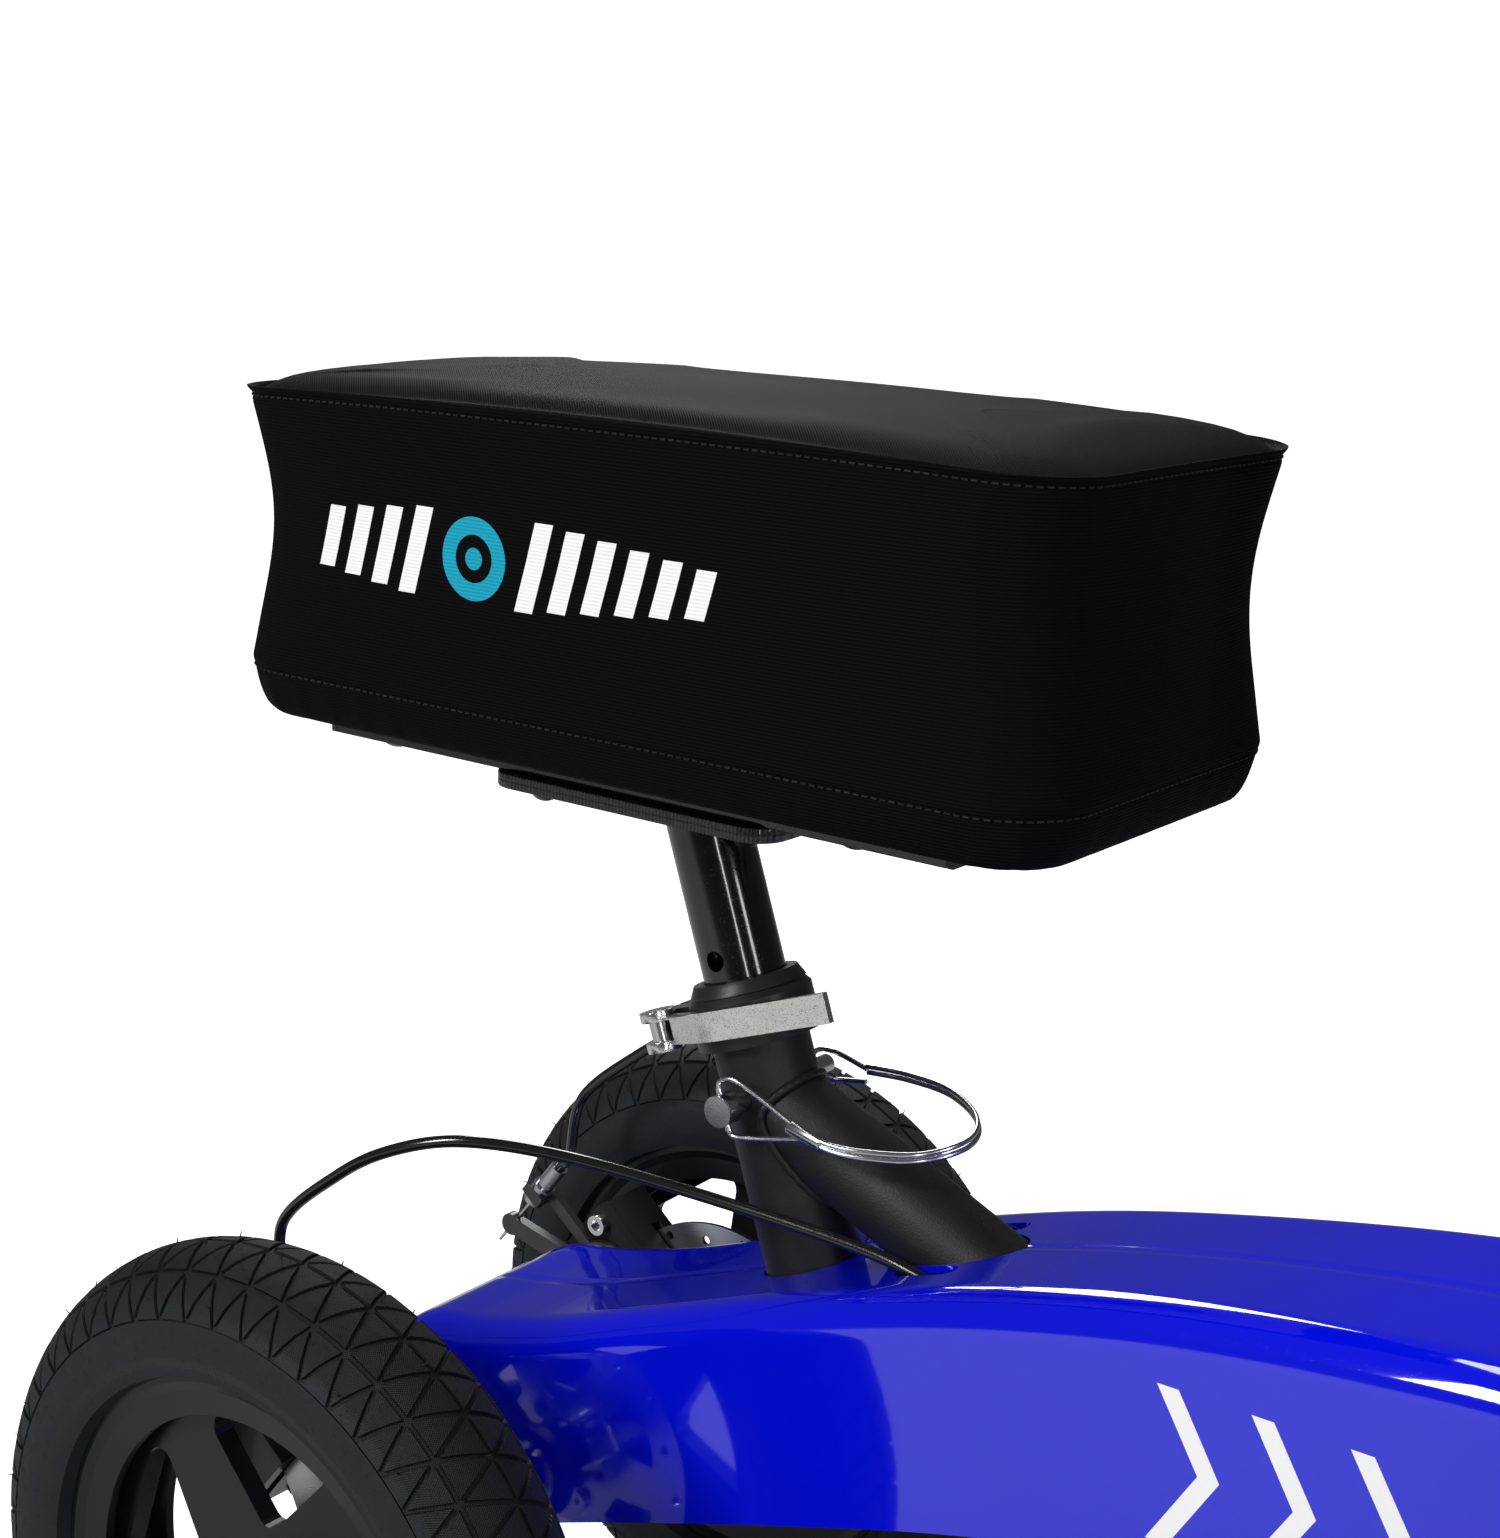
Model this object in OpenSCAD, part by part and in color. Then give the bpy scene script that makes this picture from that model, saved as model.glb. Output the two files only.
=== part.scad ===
// Four-wheeled knee scooter with a moulded arch body, a height-adjustable knee pad,
// a folding steering column and mechanical disc brakes on the rear wheels.
// +X is forward, +Y is left, +Z is up. The origin is on the ground, midway between the axles.

/* [Chassis] */
// Distance between the front and rear axles
wheelbase = 560; // [520:5:620]
// Distance between the middles of the left and right tyres
track = 316; // [306:2:340]
// Diameter of the tube across the rear of the frame
cross_tube_d = 30; // [28:1:34]
// Diameter of the frame's spine tube
spine_d = 34; // [30:1:38]
// Diameter of the wheel axles
axle_d = 12; // [10:1:14]
// Sideways distance from the middle to each kingpin
kingpin_y = 104; // [100:1:106]

/* [Wheels] */
// Outside diameter of the tyres
tyre_d = 306; // [290:2:312]
// Width of the tyres
tyre_w = 64; // [56:1:66]
// Diameter of the rim's flanges
rim_d = 219; // [210:1:222]
// Diameter of the brake discs
disc_d = 140; // [132:2:142]
// Number of spokes in a rim
spokes = 5; // [4:1:6]

/* [Body] */
// Width of the body over the middle of its length
body_w = 116; // [110:1:122]
// Thickness of the body's moulded wall
body_wall = 3; // [2:0.25:3.5]

/* [Knee pad] */
// Length of the cushion
pad_l = 390; // [340:5:400]
// Width of the cushion
pad_w = 186; // [160:2:200]
// Height of the cushion
pad_h = 134; // [90:2:140]
// Length of the tube that carries the cushion
rail_l = 318; // [300:2:340]
// Width of that tube
rail_w = 33; // [30:1:36]
// Height of that tube
rail_h = 26; // [22:1:28]
// Outside diameter of the pad's post
post_d = 33.9; // [31.8:0.1:34.9]
// Outside diameter of the tube that the post slides in
seat_tube_d = 40; // [39:0.5:42]
// Height of the carrying tube's lower face over the ground
rail_z = 471; // [466:1:490]

/* [Steering] */
// Lean of the steering column from upright, in degrees
steer_lean = 12; // [8:1:14]
// Outside diameter of the lower stem tube
stem_d = 35; // [34:0.5:38]
// Outside diameter of the telescoping upper stem
upper_d = 28.6; // [25.4:0.1:29]
// Length of the column from the pitman's level to the handlebar
column_l = 740; // [690:5:780]
// Width of the handlebar over its ends
bar_w = 560; // [520:10:620]
// Diameter of the handlebar's tube
bar_d = 22.2; // [21.8:0.1:23]
// Length of a grip
grip_l = 125; // [110:1:135]

/* [Fits] */
// Radial running clearance of a shaft in its bore
run = 0.05; // [0.03:0.01:0.08]
// Gap between pieces that move past one another
gap = 0.5; // [0.4:0.1:0.8]

/* [Hidden] */
$fn = 48;
wheel_r = tyre_d / 2;
rear_x = -wheelbase / 2;
front_x = wheelbase / 2;
half_track = track / 2;

// Seat tube: a point on its axis, behind and above the body, and its lean
seat_x = rear_x + 136;
seat_z = 300;
seat_lean = 19.6;
seat_bore = post_d + 2 * run;
// Distances along the seat tube's axis from that point
seat_foot = -58;
seat_top = 105;
pin_s = 63;
clamp_s = 91;
// Post: its foot, the slot that the hitch pin passes, and its top under the plate
post_foot = -14;
post_wall = 3;
plate_t = 6.2;
post_top = (rail_z - plate_t - seat_z) / cos(seat_lean);
post_x = seat_x - post_top * sin(seat_lean);
slot_low = -2;
slot_high = 104;
pin_d = 8;

// Carrying tube and cushion, from the rear axle
rail_x = rear_x + 42;
board_t = 12;
board_z = rail_z + rail_h;
pad_x = rear_x + 88;
pad_z = board_z + board_t;

// Steering axis: its lowest point and its stations
steer_x = front_x - 15;
steer_z = 215;
shaft_d = 28.6;
head_d = 46;
head_low = 62;
head_high = 150;
pitman_s = 30;
pitman_l = 45;
knuckle_l = pitman_l * cos(steer_lean);
fold_s = 190;
fold_pin_d = 10;
stem_top = 470;
upper_foot = 330;
bar_s = column_l;
// The brake lever's clamp, from the grip's outer end
lever_in = grip_l + 14;

// Wheels and brakes
hub_d = 46;
hub_half = 24;
bearing_d = 28;
bearing_w = 8;
disc_y = half_track - 31;
disc_t = 2;
axle_z = wheel_r;
bead_r = rim_d / 2 - 5.5;
kingpin_d = 12;
knuckle_z = 228;
// Direction from the axle to the caliper, and its distance from the axle
caliper_turn = 142;
caliper_r = 71;
// In the caliper: its actuator's axis, the cable's line, the arm's plane and its tip's drop
actuator_x = -4;
cable_x = 45;
arm_y = 33.2;
arm_drop = 24;

// ---------- Helpers ----------

// Puts its children on the seat tube's axis, s along it, with their Z along the tube
module on_seat_tube(s) {
    translate([seat_x, 0, seat_z])
        rotate([0, -seat_lean, 0])
            translate([0, 0, s]) children();
}

// Puts its children on the steering axis in the same way
module on_column(s) {
    translate([steer_x, 0, steer_z])
        rotate([0, -steer_lean, 0])
            translate([0, 0, s]) children();
}

// Puts its children on an axle, with their Z outward to the left (side 1) or right (side -1)
module on_axle(x, side) {
    translate([x, side * half_track, axle_z]) rotate([-side * 90, 0, 0]) children();
}

// A round bar between two points
module rod(a, b, d) {
    v = b - a;
    turn = atan2(v[1], v[0]);
    tilt = acos(v[2] / norm(v));
    translate(a) rotate([0, tilt, turn]) cylinder(d = d, h = norm(v));
}

// A cylinder along Y, centred
module cross(d, l) {
    rotate([90, 0, 0]) cylinder(d = d, h = l, center = true);
}

// A tube standing on its end
module tube(d, bore, h) {
    difference() {
        cylinder(d = d, h = h);
        translate([0, 0, -1]) cylinder(d = bore, h = h + 2);
    }
}

// A button head with its dome down, its flat side at z = 0
module dome_head(d, h) {
    rotate_extrude() intersection() {
        translate([0, (d * d / 4 - h * h) / (2 * h)]) circle(r = (d * d / 4 + h * h) / (2 * h), $fn = 72);
        translate([0, -h]) square([d / 2, h]);
    }
}

// Smooth curve through points: position at t from 0 to 1 between p1 and p2
function spline(p0, p1, p2, p3, t) =
    0.5 * (2 * p1 + (p2 - p0) * t + (2 * p0 - 5 * p1 + 4 * p2 - p3) * t * t
    + (3 * p1 - p0 - 3 * p2 + p3) * t * t * t);

// Subdivides a list of points n times along that curve
function smooth(p, n) = [
    for (i = [0 : len(p) - 2]) for (k = [0 : n - 1])
        spline(p[max(i - 1, 0)], p[i], p[i + 1], p[min(i + 2, len(p) - 1)], k / n),
    p[len(p) - 1]];

function unit(v) = v / norm(v);

// A round cord swept along points, as one closed surface
module cord(p, d, sides) {
    n = len(p);
    ahead = [for (i = [0 : n - 1]) unit(p[min(i + 1, n - 1)] - p[max(i - 1, 0)])];
    out = [for (i = [0 : n - 1]) unit(cross3(ahead[i], [0.11, 1, 0.07]))];
    up = [for (i = [0 : n - 1]) cross3(ahead[i], out[i])];
    points = [for (i = [0 : n - 1]) for (k = [0 : sides - 1])
        p[i] + d / 2 * (out[i] * cos(360 * k / sides) + up[i] * sin(360 * k / sides))];
    walls = [for (i = [0 : n - 2]) for (k = [0 : sides - 1])
        let (a = i * sides + k, b = i * sides + (k + 1) % sides)
        each [[a, a + sides, b], [b, a + sides, b + sides]]];
    first = [for (k = [0 : sides - 1]) k];
    last = [for (k = [0 : sides - 1]) n * sides - 1 - k];
    polyhedron(points, concat(walls, [first, last]));
}

function cross3(a, b) = [
    a[1] * b[2] - a[2] * b[1], a[2] * b[0] - a[0] * b[2], a[0] * b[1] - a[1] * b[0]];

// ---------- Frame and body ----------

// Middle line of the spine tube, from the rear cross tube to the head tube
spine = [
    [rear_x + 2, 0, axle_z + 8],
    [rear_x + 158, 0, 247],
    [rear_x + 300, 0, 292],
    [steer_x - 90 * sin(steer_lean), 0, steer_z + 90 * cos(steer_lean)]];

module strut_bar(d) {
    rod([seat_x - 16, 0, 353.6], [rear_x + 300, 0, 276], d);
}

module main_frame() color("#202022") difference() {
    union() {
        translate([rear_x, 0, axle_z]) cross(cross_tube_d, 188);
        for (i = [0 : 2]) rod(spine[i], spine[i + 1], spine_d);
        for (i = [1 : 2]) translate(spine[i]) sphere(d = spine_d);
        on_seat_tube(seat_foot) cylinder(d = seat_tube_d, h = seat_top - seat_foot);
        strut_bar(38);
        on_column(head_low) cylinder(d = head_d, h = head_high - head_low);
        // Front cross tube, its braces up to the head tube, and the kingpin bosses
        translate([front_x, 0, 196]) cross(cross_tube_d, 2 * kingpin_y - 18);
        for (side = [-1, 1]) {
            rod([steer_x - 17, side * 15, 303], [front_x - 2, side * 52, 200], 18);
            translate([front_x, side * kingpin_y, 172]) cylinder(d = 28, h = 48);
        }
    }
    translate([rear_x, 0, axle_z]) cross(axle_d, 200);
    on_seat_tube(seat_foot + 8) cylinder(d = seat_bore, h = seat_top - seat_foot);
    on_seat_tube(pin_s) cross(pin_d + 2 * run, 60);
    on_column(head_low - 1) cylinder(d = shaft_d + 3, h = head_high - head_low + 2);
    on_column(head_low - 1) cylinder(d = 40, h = 9);
    on_column(head_high - 8) cylinder(d = 40, h = 9);
    for (side = [-1, 1])
        translate([front_x, side * kingpin_y, 160])
            cylinder(d = kingpin_d + 2 * run, h = 70);
}

// Top and lower edges of the body as seen from the side: distance from the rear axle, height
top_line = smooth([
    [-51, 196], [-46, 219], [-30, 233], [0, 240], [40, 252], [90, 272], [160, 300], [235, 326],
    [306, 344.5], [381, 358.5], [450, 366], [505, 363], [552, 341], [583, 303], [594, 258]], 3);
low_line = smooth([
    [-51, 150], [-46, 141], [-30, 141], [0, 148], [40, 163], [90, 182], [160, 207], [235, 232],
    [306, 251], [381, 268], [450, 275], [505, 268], [552, 256], [583, 250], [594, 247]], 3);

// Half width of the body at a distance from the rear axle
function half_w(x) = body_w / 2
    + (x > 290 ? 7 * pow(sin(min(x - 290, 160) * 90 / 160), 2) : 0)
    - (x > 470 ? 24 * (1 - cos(min(x - 470, 130) * 90 / 130)) : 0)
    - (x < -30 ? 3.5 * pow((-30 - x) / 21, 2) : 0);

// A place along the body keeps its distance from the nearer axle
function body_x(x) = x < 160 ? rear_x + x
    : x > 420 ? front_x - 560 + x
    : rear_x + x + (wheelbase - 560) * (x - 160) / 260;

// One upright slice through the body, in by a wall's thickness and down by drop
module body_slice(i, inward, drop) {
    x = top_line[i][0];
    w = half_w(x) - inward;
    high = top_line[i][1] - inward;
    low = low_line[i][1] - drop;
    round = min(16 - inward, (high - low) / 2 - 1, w - 1);
    translate([body_x(x), 0, 0]) rotate([90, 0, 90]) linear_extrude(0.02) hull() {
        for (side = [-1, 1]) translate([side * (w - round), high - round]) circle(round, $fn = 28);
        translate([-w, low]) square([2 * w, 1]);
    }
}

module body_solid(inward, drop, first, last) {
    for (i = [first : last - 1]) hull() {
        body_slice(i, inward, drop);
        body_slice(i + 1, inward, drop);
    }
}

// Moulded outer body: closed over the top, sides and ends, open underneath
module body_shell() color("#0000c8") difference() {
    body_solid(0, 0, 0, len(top_line) - 1);
    body_solid(body_wall, 40, 1, len(top_line) - 2);
    translate([rear_x, 0, axle_z]) cross(cross_tube_d + 3, 200);
    translate([rear_x, 0, axle_z - 20]) cube([cross_tube_d + 3, 200, 40], center = true);
    on_seat_tube(-40) cylinder(d = seat_tube_d + 2, h = 100);
    strut_bar(40.5);
    on_column(head_high - 60) cylinder(d = head_d + 3, h = 90);
    for (side = [-1, 1]) {
        for (x = [-8, 0, 8]) translate([body_x(208) + x, side * 26.5, 290]) cylinder(d = 11, h = 50);
        translate([body_x(208) - 8, side * 26.5 - 5.5, 290]) cube([16, 11, 50]);
        translate([body_x(469), side * 33, 350]) cylinder(d = 15, h = 60);
    }
}

// Black cover that closes the body from below, behind the steering
module under_tray() color("#151517") {
    tray = [for (i = [0 : len(low_line) - 1])
        if (low_line[i][0] > 104 && low_line[i][0] < 440) [body_x(low_line[i][0]), low_line[i][1]]];
    w = 2 * (body_w / 2 - body_wall - gap);
    difference() {
        translate([0, w / 2, 0]) rotate([90, 0, 0]) linear_extrude(w)
            polygon(concat([for (p = tray) p + [0, 3]], [for (i = [len(tray) - 1 : -1 : 0]) tray[i] + [0, 6]]));
        on_seat_tube(-80) cylinder(d = seat_tube_d + 3, h = 60);
    }
}

module headset(s, up) {
    on_column(s) difference() {
        cylinder(d = 40, h = 8);
        translate([0, 0, -1]) cylinder(d = shaft_d + 2 * run, h = 10);
    }
}

module head_bearings() color("#8f9296") {
    headset(head_low, false);
    headset(head_high - 8, true);
}

// ---------- Rear axle and brakes ----------

module rear_axle() color("#9fa2a6")
    translate([rear_x, 0, axle_z]) cross(axle_d, 2 * (half_track + hub_half + 12));

module rear_axle_nuts() color("#b4b7bb") {
    for (side = [-1, 1]) on_axle(rear_x, side) {
        // Lock nut outside, spacer sleeve between the frame and the hub
        translate([0, 0, hub_half + gap]) difference() {
            cylinder(d = 19, h = 9, $fn = 6);
            translate([0, 0, -1]) cylinder(d = axle_d, h = 12);
        }
        sleeve = half_track - 94 - hub_half - gap;
        translate([0, 0, -hub_half - gap - sleeve]) tube(20, axle_d, sleeve);
    }
}

// Puts its children at the caliper of one side: X outward from the axle, Y inboard
module at_caliper(side) {
    translate([rear_x, side * disc_y, axle_z])
        rotate([0, -caliper_turn, 0])
            translate([caliper_r, 0, 0])
                mirror([0, side > 0 ? 1 : 0, 0]) children();
}

// Plates from the cross tube to the calipers, with a round opening for each actuator
module caliper_brackets() color("#1b1b1d") {
    for (side = [-1, 1]) at_caliper(side) difference() {
        union() {
            rod([-caliper_r, 19, 0], [-caliper_r, 25, 0], 44);
            translate([-caliper_r, 19, -15]) cube([60, 6, 30]);
            translate([-24, 19, -22]) cube([44, 6, 44]);
        }
        rod([-caliper_r, 10, 0], [-caliper_r, 35, 0], cross_tube_d);
        rod([actuator_x, 10, 0], [actuator_x, 35, 0], 31.5);
        for (z = [-16, 16]) rod([13, 10, z], [13, 35, z], 6);
    }
}

// Caliper block over the disc's edge, with the pads held in its slot
module caliper_bodies() {
    for (side = [-1, 1]) at_caliper(side) {
        color("#1d1d20") difference() {
            union() {
                translate([-22, -9, -21]) cube([42, 27.6, 42]);
                rod([actuator_x, 17, 0], [actuator_x, 29.5, 0], 30);
                // Arm out to the lug that holds the cable's barrel
                translate([0, 25.5, -6]) cube([cable_x + 5, 4, 6]);
                translate([cable_x - 6, 25.5, -6]) cube([12, 13.5, 6]);
            }
            translate([-30, -3, -30]) cube([30, 6, 60]);
            rod([actuator_x, -5, 0], [actuator_x, 40, 0], 14);
            for (z = [-16, 16]) rod([13, -12, z], [13, 40, z], 6);
            rod([cable_x, arm_y, -10], [cable_x, arm_y, 10], 6);
        }
        color("#6d5f4c") for (y = [-2.9, 1.5]) translate([-19, y, -12]) cube([17, 1.4, 24]);
    }
}

module caliper_screws() color("#b9bcc0") {
    for (side = [-1, 1], z = [-16, 16]) at_caliper(side) difference() {
        union() {
            rod([13, -6, z], [13, 25, z], 6);
            rod([13, 25, z], [13, 29.8, z], 10);
        }
        translate([13, 29, z]) rotate([90, 0, 0]) cylinder(d = 5.7, h = 6, center = true, $fn = 6);
    }
}

// Swinging arm that squeezes the pads; the cable pulls its tip up to the barrel
module caliper_arm(side) color("#26272a") at_caliper(side) {
    reach = sqrt(pow(cable_x - actuator_x, 2) + arm_drop * arm_drop);
    turn = atan2(arm_drop, cable_x - actuator_x);
    difference() {
        union() {
            rod([actuator_x, 4, 0], [actuator_x, arm_y + 2.5, 0], 14 - 2 * run);
            rod([actuator_x, arm_y - 2.5, 0], [actuator_x, arm_y + 2.5, 0], 23);
            rod([cable_x, arm_y - 2.5, arm_drop], [cable_x, arm_y + 2.5, arm_drop], 11);
            translate([actuator_x, arm_y - 2.5, 0]) rotate([0, -turn, 0]) translate([0, 0, -4.5])
                cube([reach, 5, 9]);
        }
        rod([cable_x, arm_y, arm_drop - 8], [cable_x, arm_y, arm_drop + 8], 2.4);
    }
}

module caliper_arm_left() caliper_arm(1);
module caliper_arm_right() caliper_arm(-1);

// Knurled barrels that the cable housings end in
module cable_adjusters() color("#c2c5c9") {
    for (side = [-1, 1]) at_caliper(side) translate([cable_x, arm_y, 0]) difference() {
        union() {
            rod([0, 0, -12], [0, 0, 3], 6);
            rod([0, 0, 0], [0, 0, 3], 11);
            rod([0, 0, -9], [0, 0, -6], 11);
            rod([0, 0, -24], [0, 0, -9], 8.5);
        }
        rod([0, 0, -26], [0, 0, -20], 5.4);
        rod([0, 0, -22], [0, 0, 6], 1.8);
    }
}

// A point in the right caliper's own directions, in the part's frame
function caliper_point(p, side) = [
    rear_x + (caliper_r + p[0]) * cos(caliper_turn) - p[2] * sin(caliper_turn),
    side * (disc_y - p[1]),
    axle_z + (caliper_r + p[0]) * sin(caliper_turn) + p[2] * cos(caliper_turn)];

// Cable routes, for the right side: from the caliper's barrel along the body to the brake lever
// (distance from the rear axle, outward, height)
rear_run = [
    [-66, 97, 281], [-34, 98, 310], [-6, 96, 328],
    [24, 86, 337.5], [60, 66, 335], [112, 45, 327], [176, 30.5, 319.5], [206, 27, 314],
    [246, 26, 304], [310, 27, 310], [380, 30, 324], [440, 33, 338]];
// (back from the steering axis, outward, distance along the axis)
column_run = [[41, 33, 168], [44, 27, 205], [40, 14, 250], [31, 8, 320], [31, 7, 400], [32, 7, 470],
    [36, 10, 560], [42, 20, 640], [32, 48, 695],
    [8, 74, 721], [-11, 96, 742], [-10, bar_w / 2 - lever_in - 48, 755], [-8.6, bar_w / 2 - lever_in - 29, 762]];

function column_point(p, side) = [
    steer_x - p[0] * cos(steer_lean) - p[2] * sin(steer_lean),
    side * p[1],
    steer_z + p[2] * cos(steer_lean) - p[0] * sin(steer_lean)];

module brake_cable(side) color("#101012") {
    route = concat(
        [for (z = [-20, -26, -34]) caliper_point([cable_x, arm_y, z], side)],
        [for (p = rear_run) [body_x(p[0]), side * p[1], p[2]]],
        [for (p = column_run) column_point(p, side)]);
    cord(smooth(route, 2), 5, 8);
    // Bare inner wire from the barrel through the arm's tip
    rod(caliper_point([cable_x, arm_y, -20.4], side), caliper_point([cable_x, arm_y, arm_drop + 14], side), 1.6);
}

module brake_cable_left() brake_cable(1);
module brake_cable_right() brake_cable(-1);

// ---------- Wheels ----------

// Hollow tyre: a round crown and walls narrowing to beads that sit between the rim's flanges
module tyre() color("#26272a") rotate_extrude($fn = 96) difference() {
    intersection() {
        translate([wheel_r - tyre_w / 2, 0]) circle(d = tyre_w, $fn = 64);
        translate([bead_r, -tyre_w / 2]) square([wheel_r, tyre_w]);
    }
    intersection() {
        translate([wheel_r - tyre_w / 2 - 1, 0]) circle(d = tyre_w - 10, $fn = 64);
        translate([rim_d / 2 + 4, -tyre_w / 2]) square([wheel_r, tyre_w]);
    }
    translate([bead_r - 1, -12]) square([20, 24]);
    for (side = [-1, 1]) translate([bead_r - 1, side * 27 - 10]) square([rim_d / 2 - bead_r + 1.6, 20]);
}

// A rounded three-sided opening, its point toward the hub
module spoke_window(inner, outer, spread, r) {
    a = [inner, 0];
    b = [outer * cos(spread), outer * sin(spread)];
    c = [outer * cos(spread), -outer * sin(spread)];
    polygon(concat(corner(a, r, 125, 235), corner(c, r, 235, 350), corner(b, r, 10, 125)));
}

function corner(p, r, from, to) = [for (k = [0 : 6]) p + r * [cos(from + (to - from) * k / 6), sin(from + (to - from) * k / 6)]];

// Moulded rim: flanged outer band, spoked disc and hub barrel. Z is outward.
module rim(with_disc) color("#17181a") difference() {
    union() {
        rotate_extrude($fn = 96) polygon([
            [88, -18], [99, -20], [103, -22], [rim_d / 2, -22], [rim_d / 2, -19], [bead_r, -17], [bead_r, -14],
            [bead_r - 4, -11], [bead_r - 4, 11], [bead_r, 14], [bead_r, 17], [rim_d / 2, 19],
            [rim_d / 2, 22], [103, 22], [99, 20], [88, 18], [88, 14], [94, 10], [94, -10], [88, -14]]);
        translate([0, 0, 0]) cylinder(d = 190, h = 9);
        translate([0, 0, -hub_half]) cylinder(d = hub_d, h = 2 * hub_half);
        if (with_disc) translate([0, 0, -31 + disc_t / 2]) cylinder(d = 62, h = 31 - disc_t / 2);
    }
    for (i = [0 : spokes - 1]) rotate(360 * i / spokes + 90 / spokes)
        translate([0, 0, -2]) linear_extrude(13) spoke_window(48, 78, 90 / spokes, 7);
    translate([0, 0, -40]) cylinder(d = axle_d + 3, h = 80);
    for (z = [-40, hub_half - bearing_w]) translate([0, 0, z]) cylinder(d = bearing_d, h = z < 0 ? 40 - hub_half + bearing_w : 40);
    if (with_disc) for (k = [0 : 5]) rotate(60 * k) translate([22, 0, -33]) cylinder(d = 5, h = 15);
}

// Two sealed bearings pressed into the hub
module bearings() color("#a8abb0") {
    for (z = [-hub_half, hub_half - bearing_w]) translate([0, 0, z])
        tube(bearing_d, axle_d + 2 * run, bearing_w);
}

module brake_disc(side) color("#c9ccd0") on_axle(rear_x, side)
    translate([0, 0, -31 - disc_t / 2]) difference() {
        cylinder(d = disc_d, h = disc_t, $fn = 72);
        translate([0, 0, -1]) cylinder(d = 34, h = 4);
        for (k = [0 : 5]) rotate(60 * k) translate([22, 0, -1]) cylinder(d = 5, h = 4);
        for (k = [0 : 5]) rotate(60 * k + 30) translate([0, 0, -1]) linear_extrude(4)
            polygon([[32, -6], [50, -17], [54, -8], [54, 8], [50, 17], [32, 6]]);
        for (k = [0 : 17]) rotate(20 * k) translate([64.5 + (k % 2 == 0 ? 1 : -3), 0, -1]) cylinder(d = 4.4, h = 4, $fn = 16);
    }

module disc_bolts(side) color("#b9bcc0") on_axle(rear_x, side)
    for (k = [0 : 5]) rotate(60 * k) translate([22, 0, -31 - disc_t / 2]) difference() {
        union() {
            translate([0, 0, -3]) cylinder(d = 9, h = 3);
            cylinder(d = 5, h = 12);
        }
        translate([0, 0, -3.5]) cylinder(d = 3, h = 2.5, $fn = 6);
    }

module tyre_rear_left() on_axle(rear_x, 1) tyre();
module tyre_rear_right() on_axle(rear_x, -1) tyre();
module tyre_front_left() on_axle(front_x, 1) tyre();
module tyre_front_right() on_axle(front_x, -1) tyre();
module rim_rear_left() on_axle(rear_x, 1) rim(true);
module rim_rear_right() on_axle(rear_x, -1) rim(true);
module rim_front_left() on_axle(front_x, 1) rim(false);
module rim_front_right() on_axle(front_x, -1) rim(false);
module bearings_rear_left() on_axle(rear_x, 1) bearings();
module bearings_rear_right() on_axle(rear_x, -1) bearings();
module bearings_front_left() on_axle(front_x, 1) bearings();
module bearings_front_right() on_axle(front_x, -1) bearings();
module brake_disc_left() brake_disc(1);
module brake_disc_right() brake_disc(-1);
module disc_bolts_left() disc_bolts(1);
module disc_bolts_right() disc_bolts(-1);

// Domed covers on the ends of the rear axle
module hub_caps_rear() color("#1c1d1f") {
    for (side = [-1, 1]) on_axle(rear_x, side) translate([0, 0, hub_half + gap]) difference() {
        intersection() {
            cylinder(d = 44, h = 18);
            translate([0, 0, -20]) sphere(r = 36, $fn = 64);
        }
        translate([0, 0, -1]) cylinder(d = 22.5, h = 13.5);
    }
}

// ---------- Seat clamp and hitch pin ----------

// Black sleeve that the lever draws tight round the split top of the seat tube
module clamp_sleeve(d, bore, h) {
    difference() {
        union() {
            cylinder(d = d, h = h - 3);
            translate([0, 0, h - 3]) cylinder(d1 = d, d2 = d - 5, h = 3);
            translate([-d / 2 - 13, -11.7, 5]) cube([18, 23.4, 13]);
        }
        translate([0, 0, -1]) cylinder(d = bore, h = h + 2);
        translate([-d, -1, -1]) cube([d / 2, 2, h + 2]);
    }
}

module seat_clamp_collar() color("#1f1f21") on_seat_tube(seat_top - 21) difference() {
    union() {
        clamp_sleeve(51, seat_tube_d + 0.1, 21);
        translate([0, 0, 21]) cylinder(d1 = 48, d2 = 43, h = 5);
    }
    translate([0, 0, 21]) cylinder(d = post_d + 2 * gap, h = 8);
    translate([-33, 0, 11.5]) cross(6.2, 40);
    translate([-60, -1, -1]) cube([30, 2, 30]);
}

// Bolt through the sleeve's ears: a nut on the far side, the cam's round pin on the near side
module clamp_bolt() {
    cross(6, 40);
    translate([0, 15.85, 0]) cross(13, 8.3);
    translate([0, -20, 0]) cylinder(d = 9, h = 17, center = true);
}

module seat_clamp_bolt() color("#c9ccd0") on_seat_tube(seat_top - 9.5) translate([-33, 0, 0]) clamp_bolt();

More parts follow.
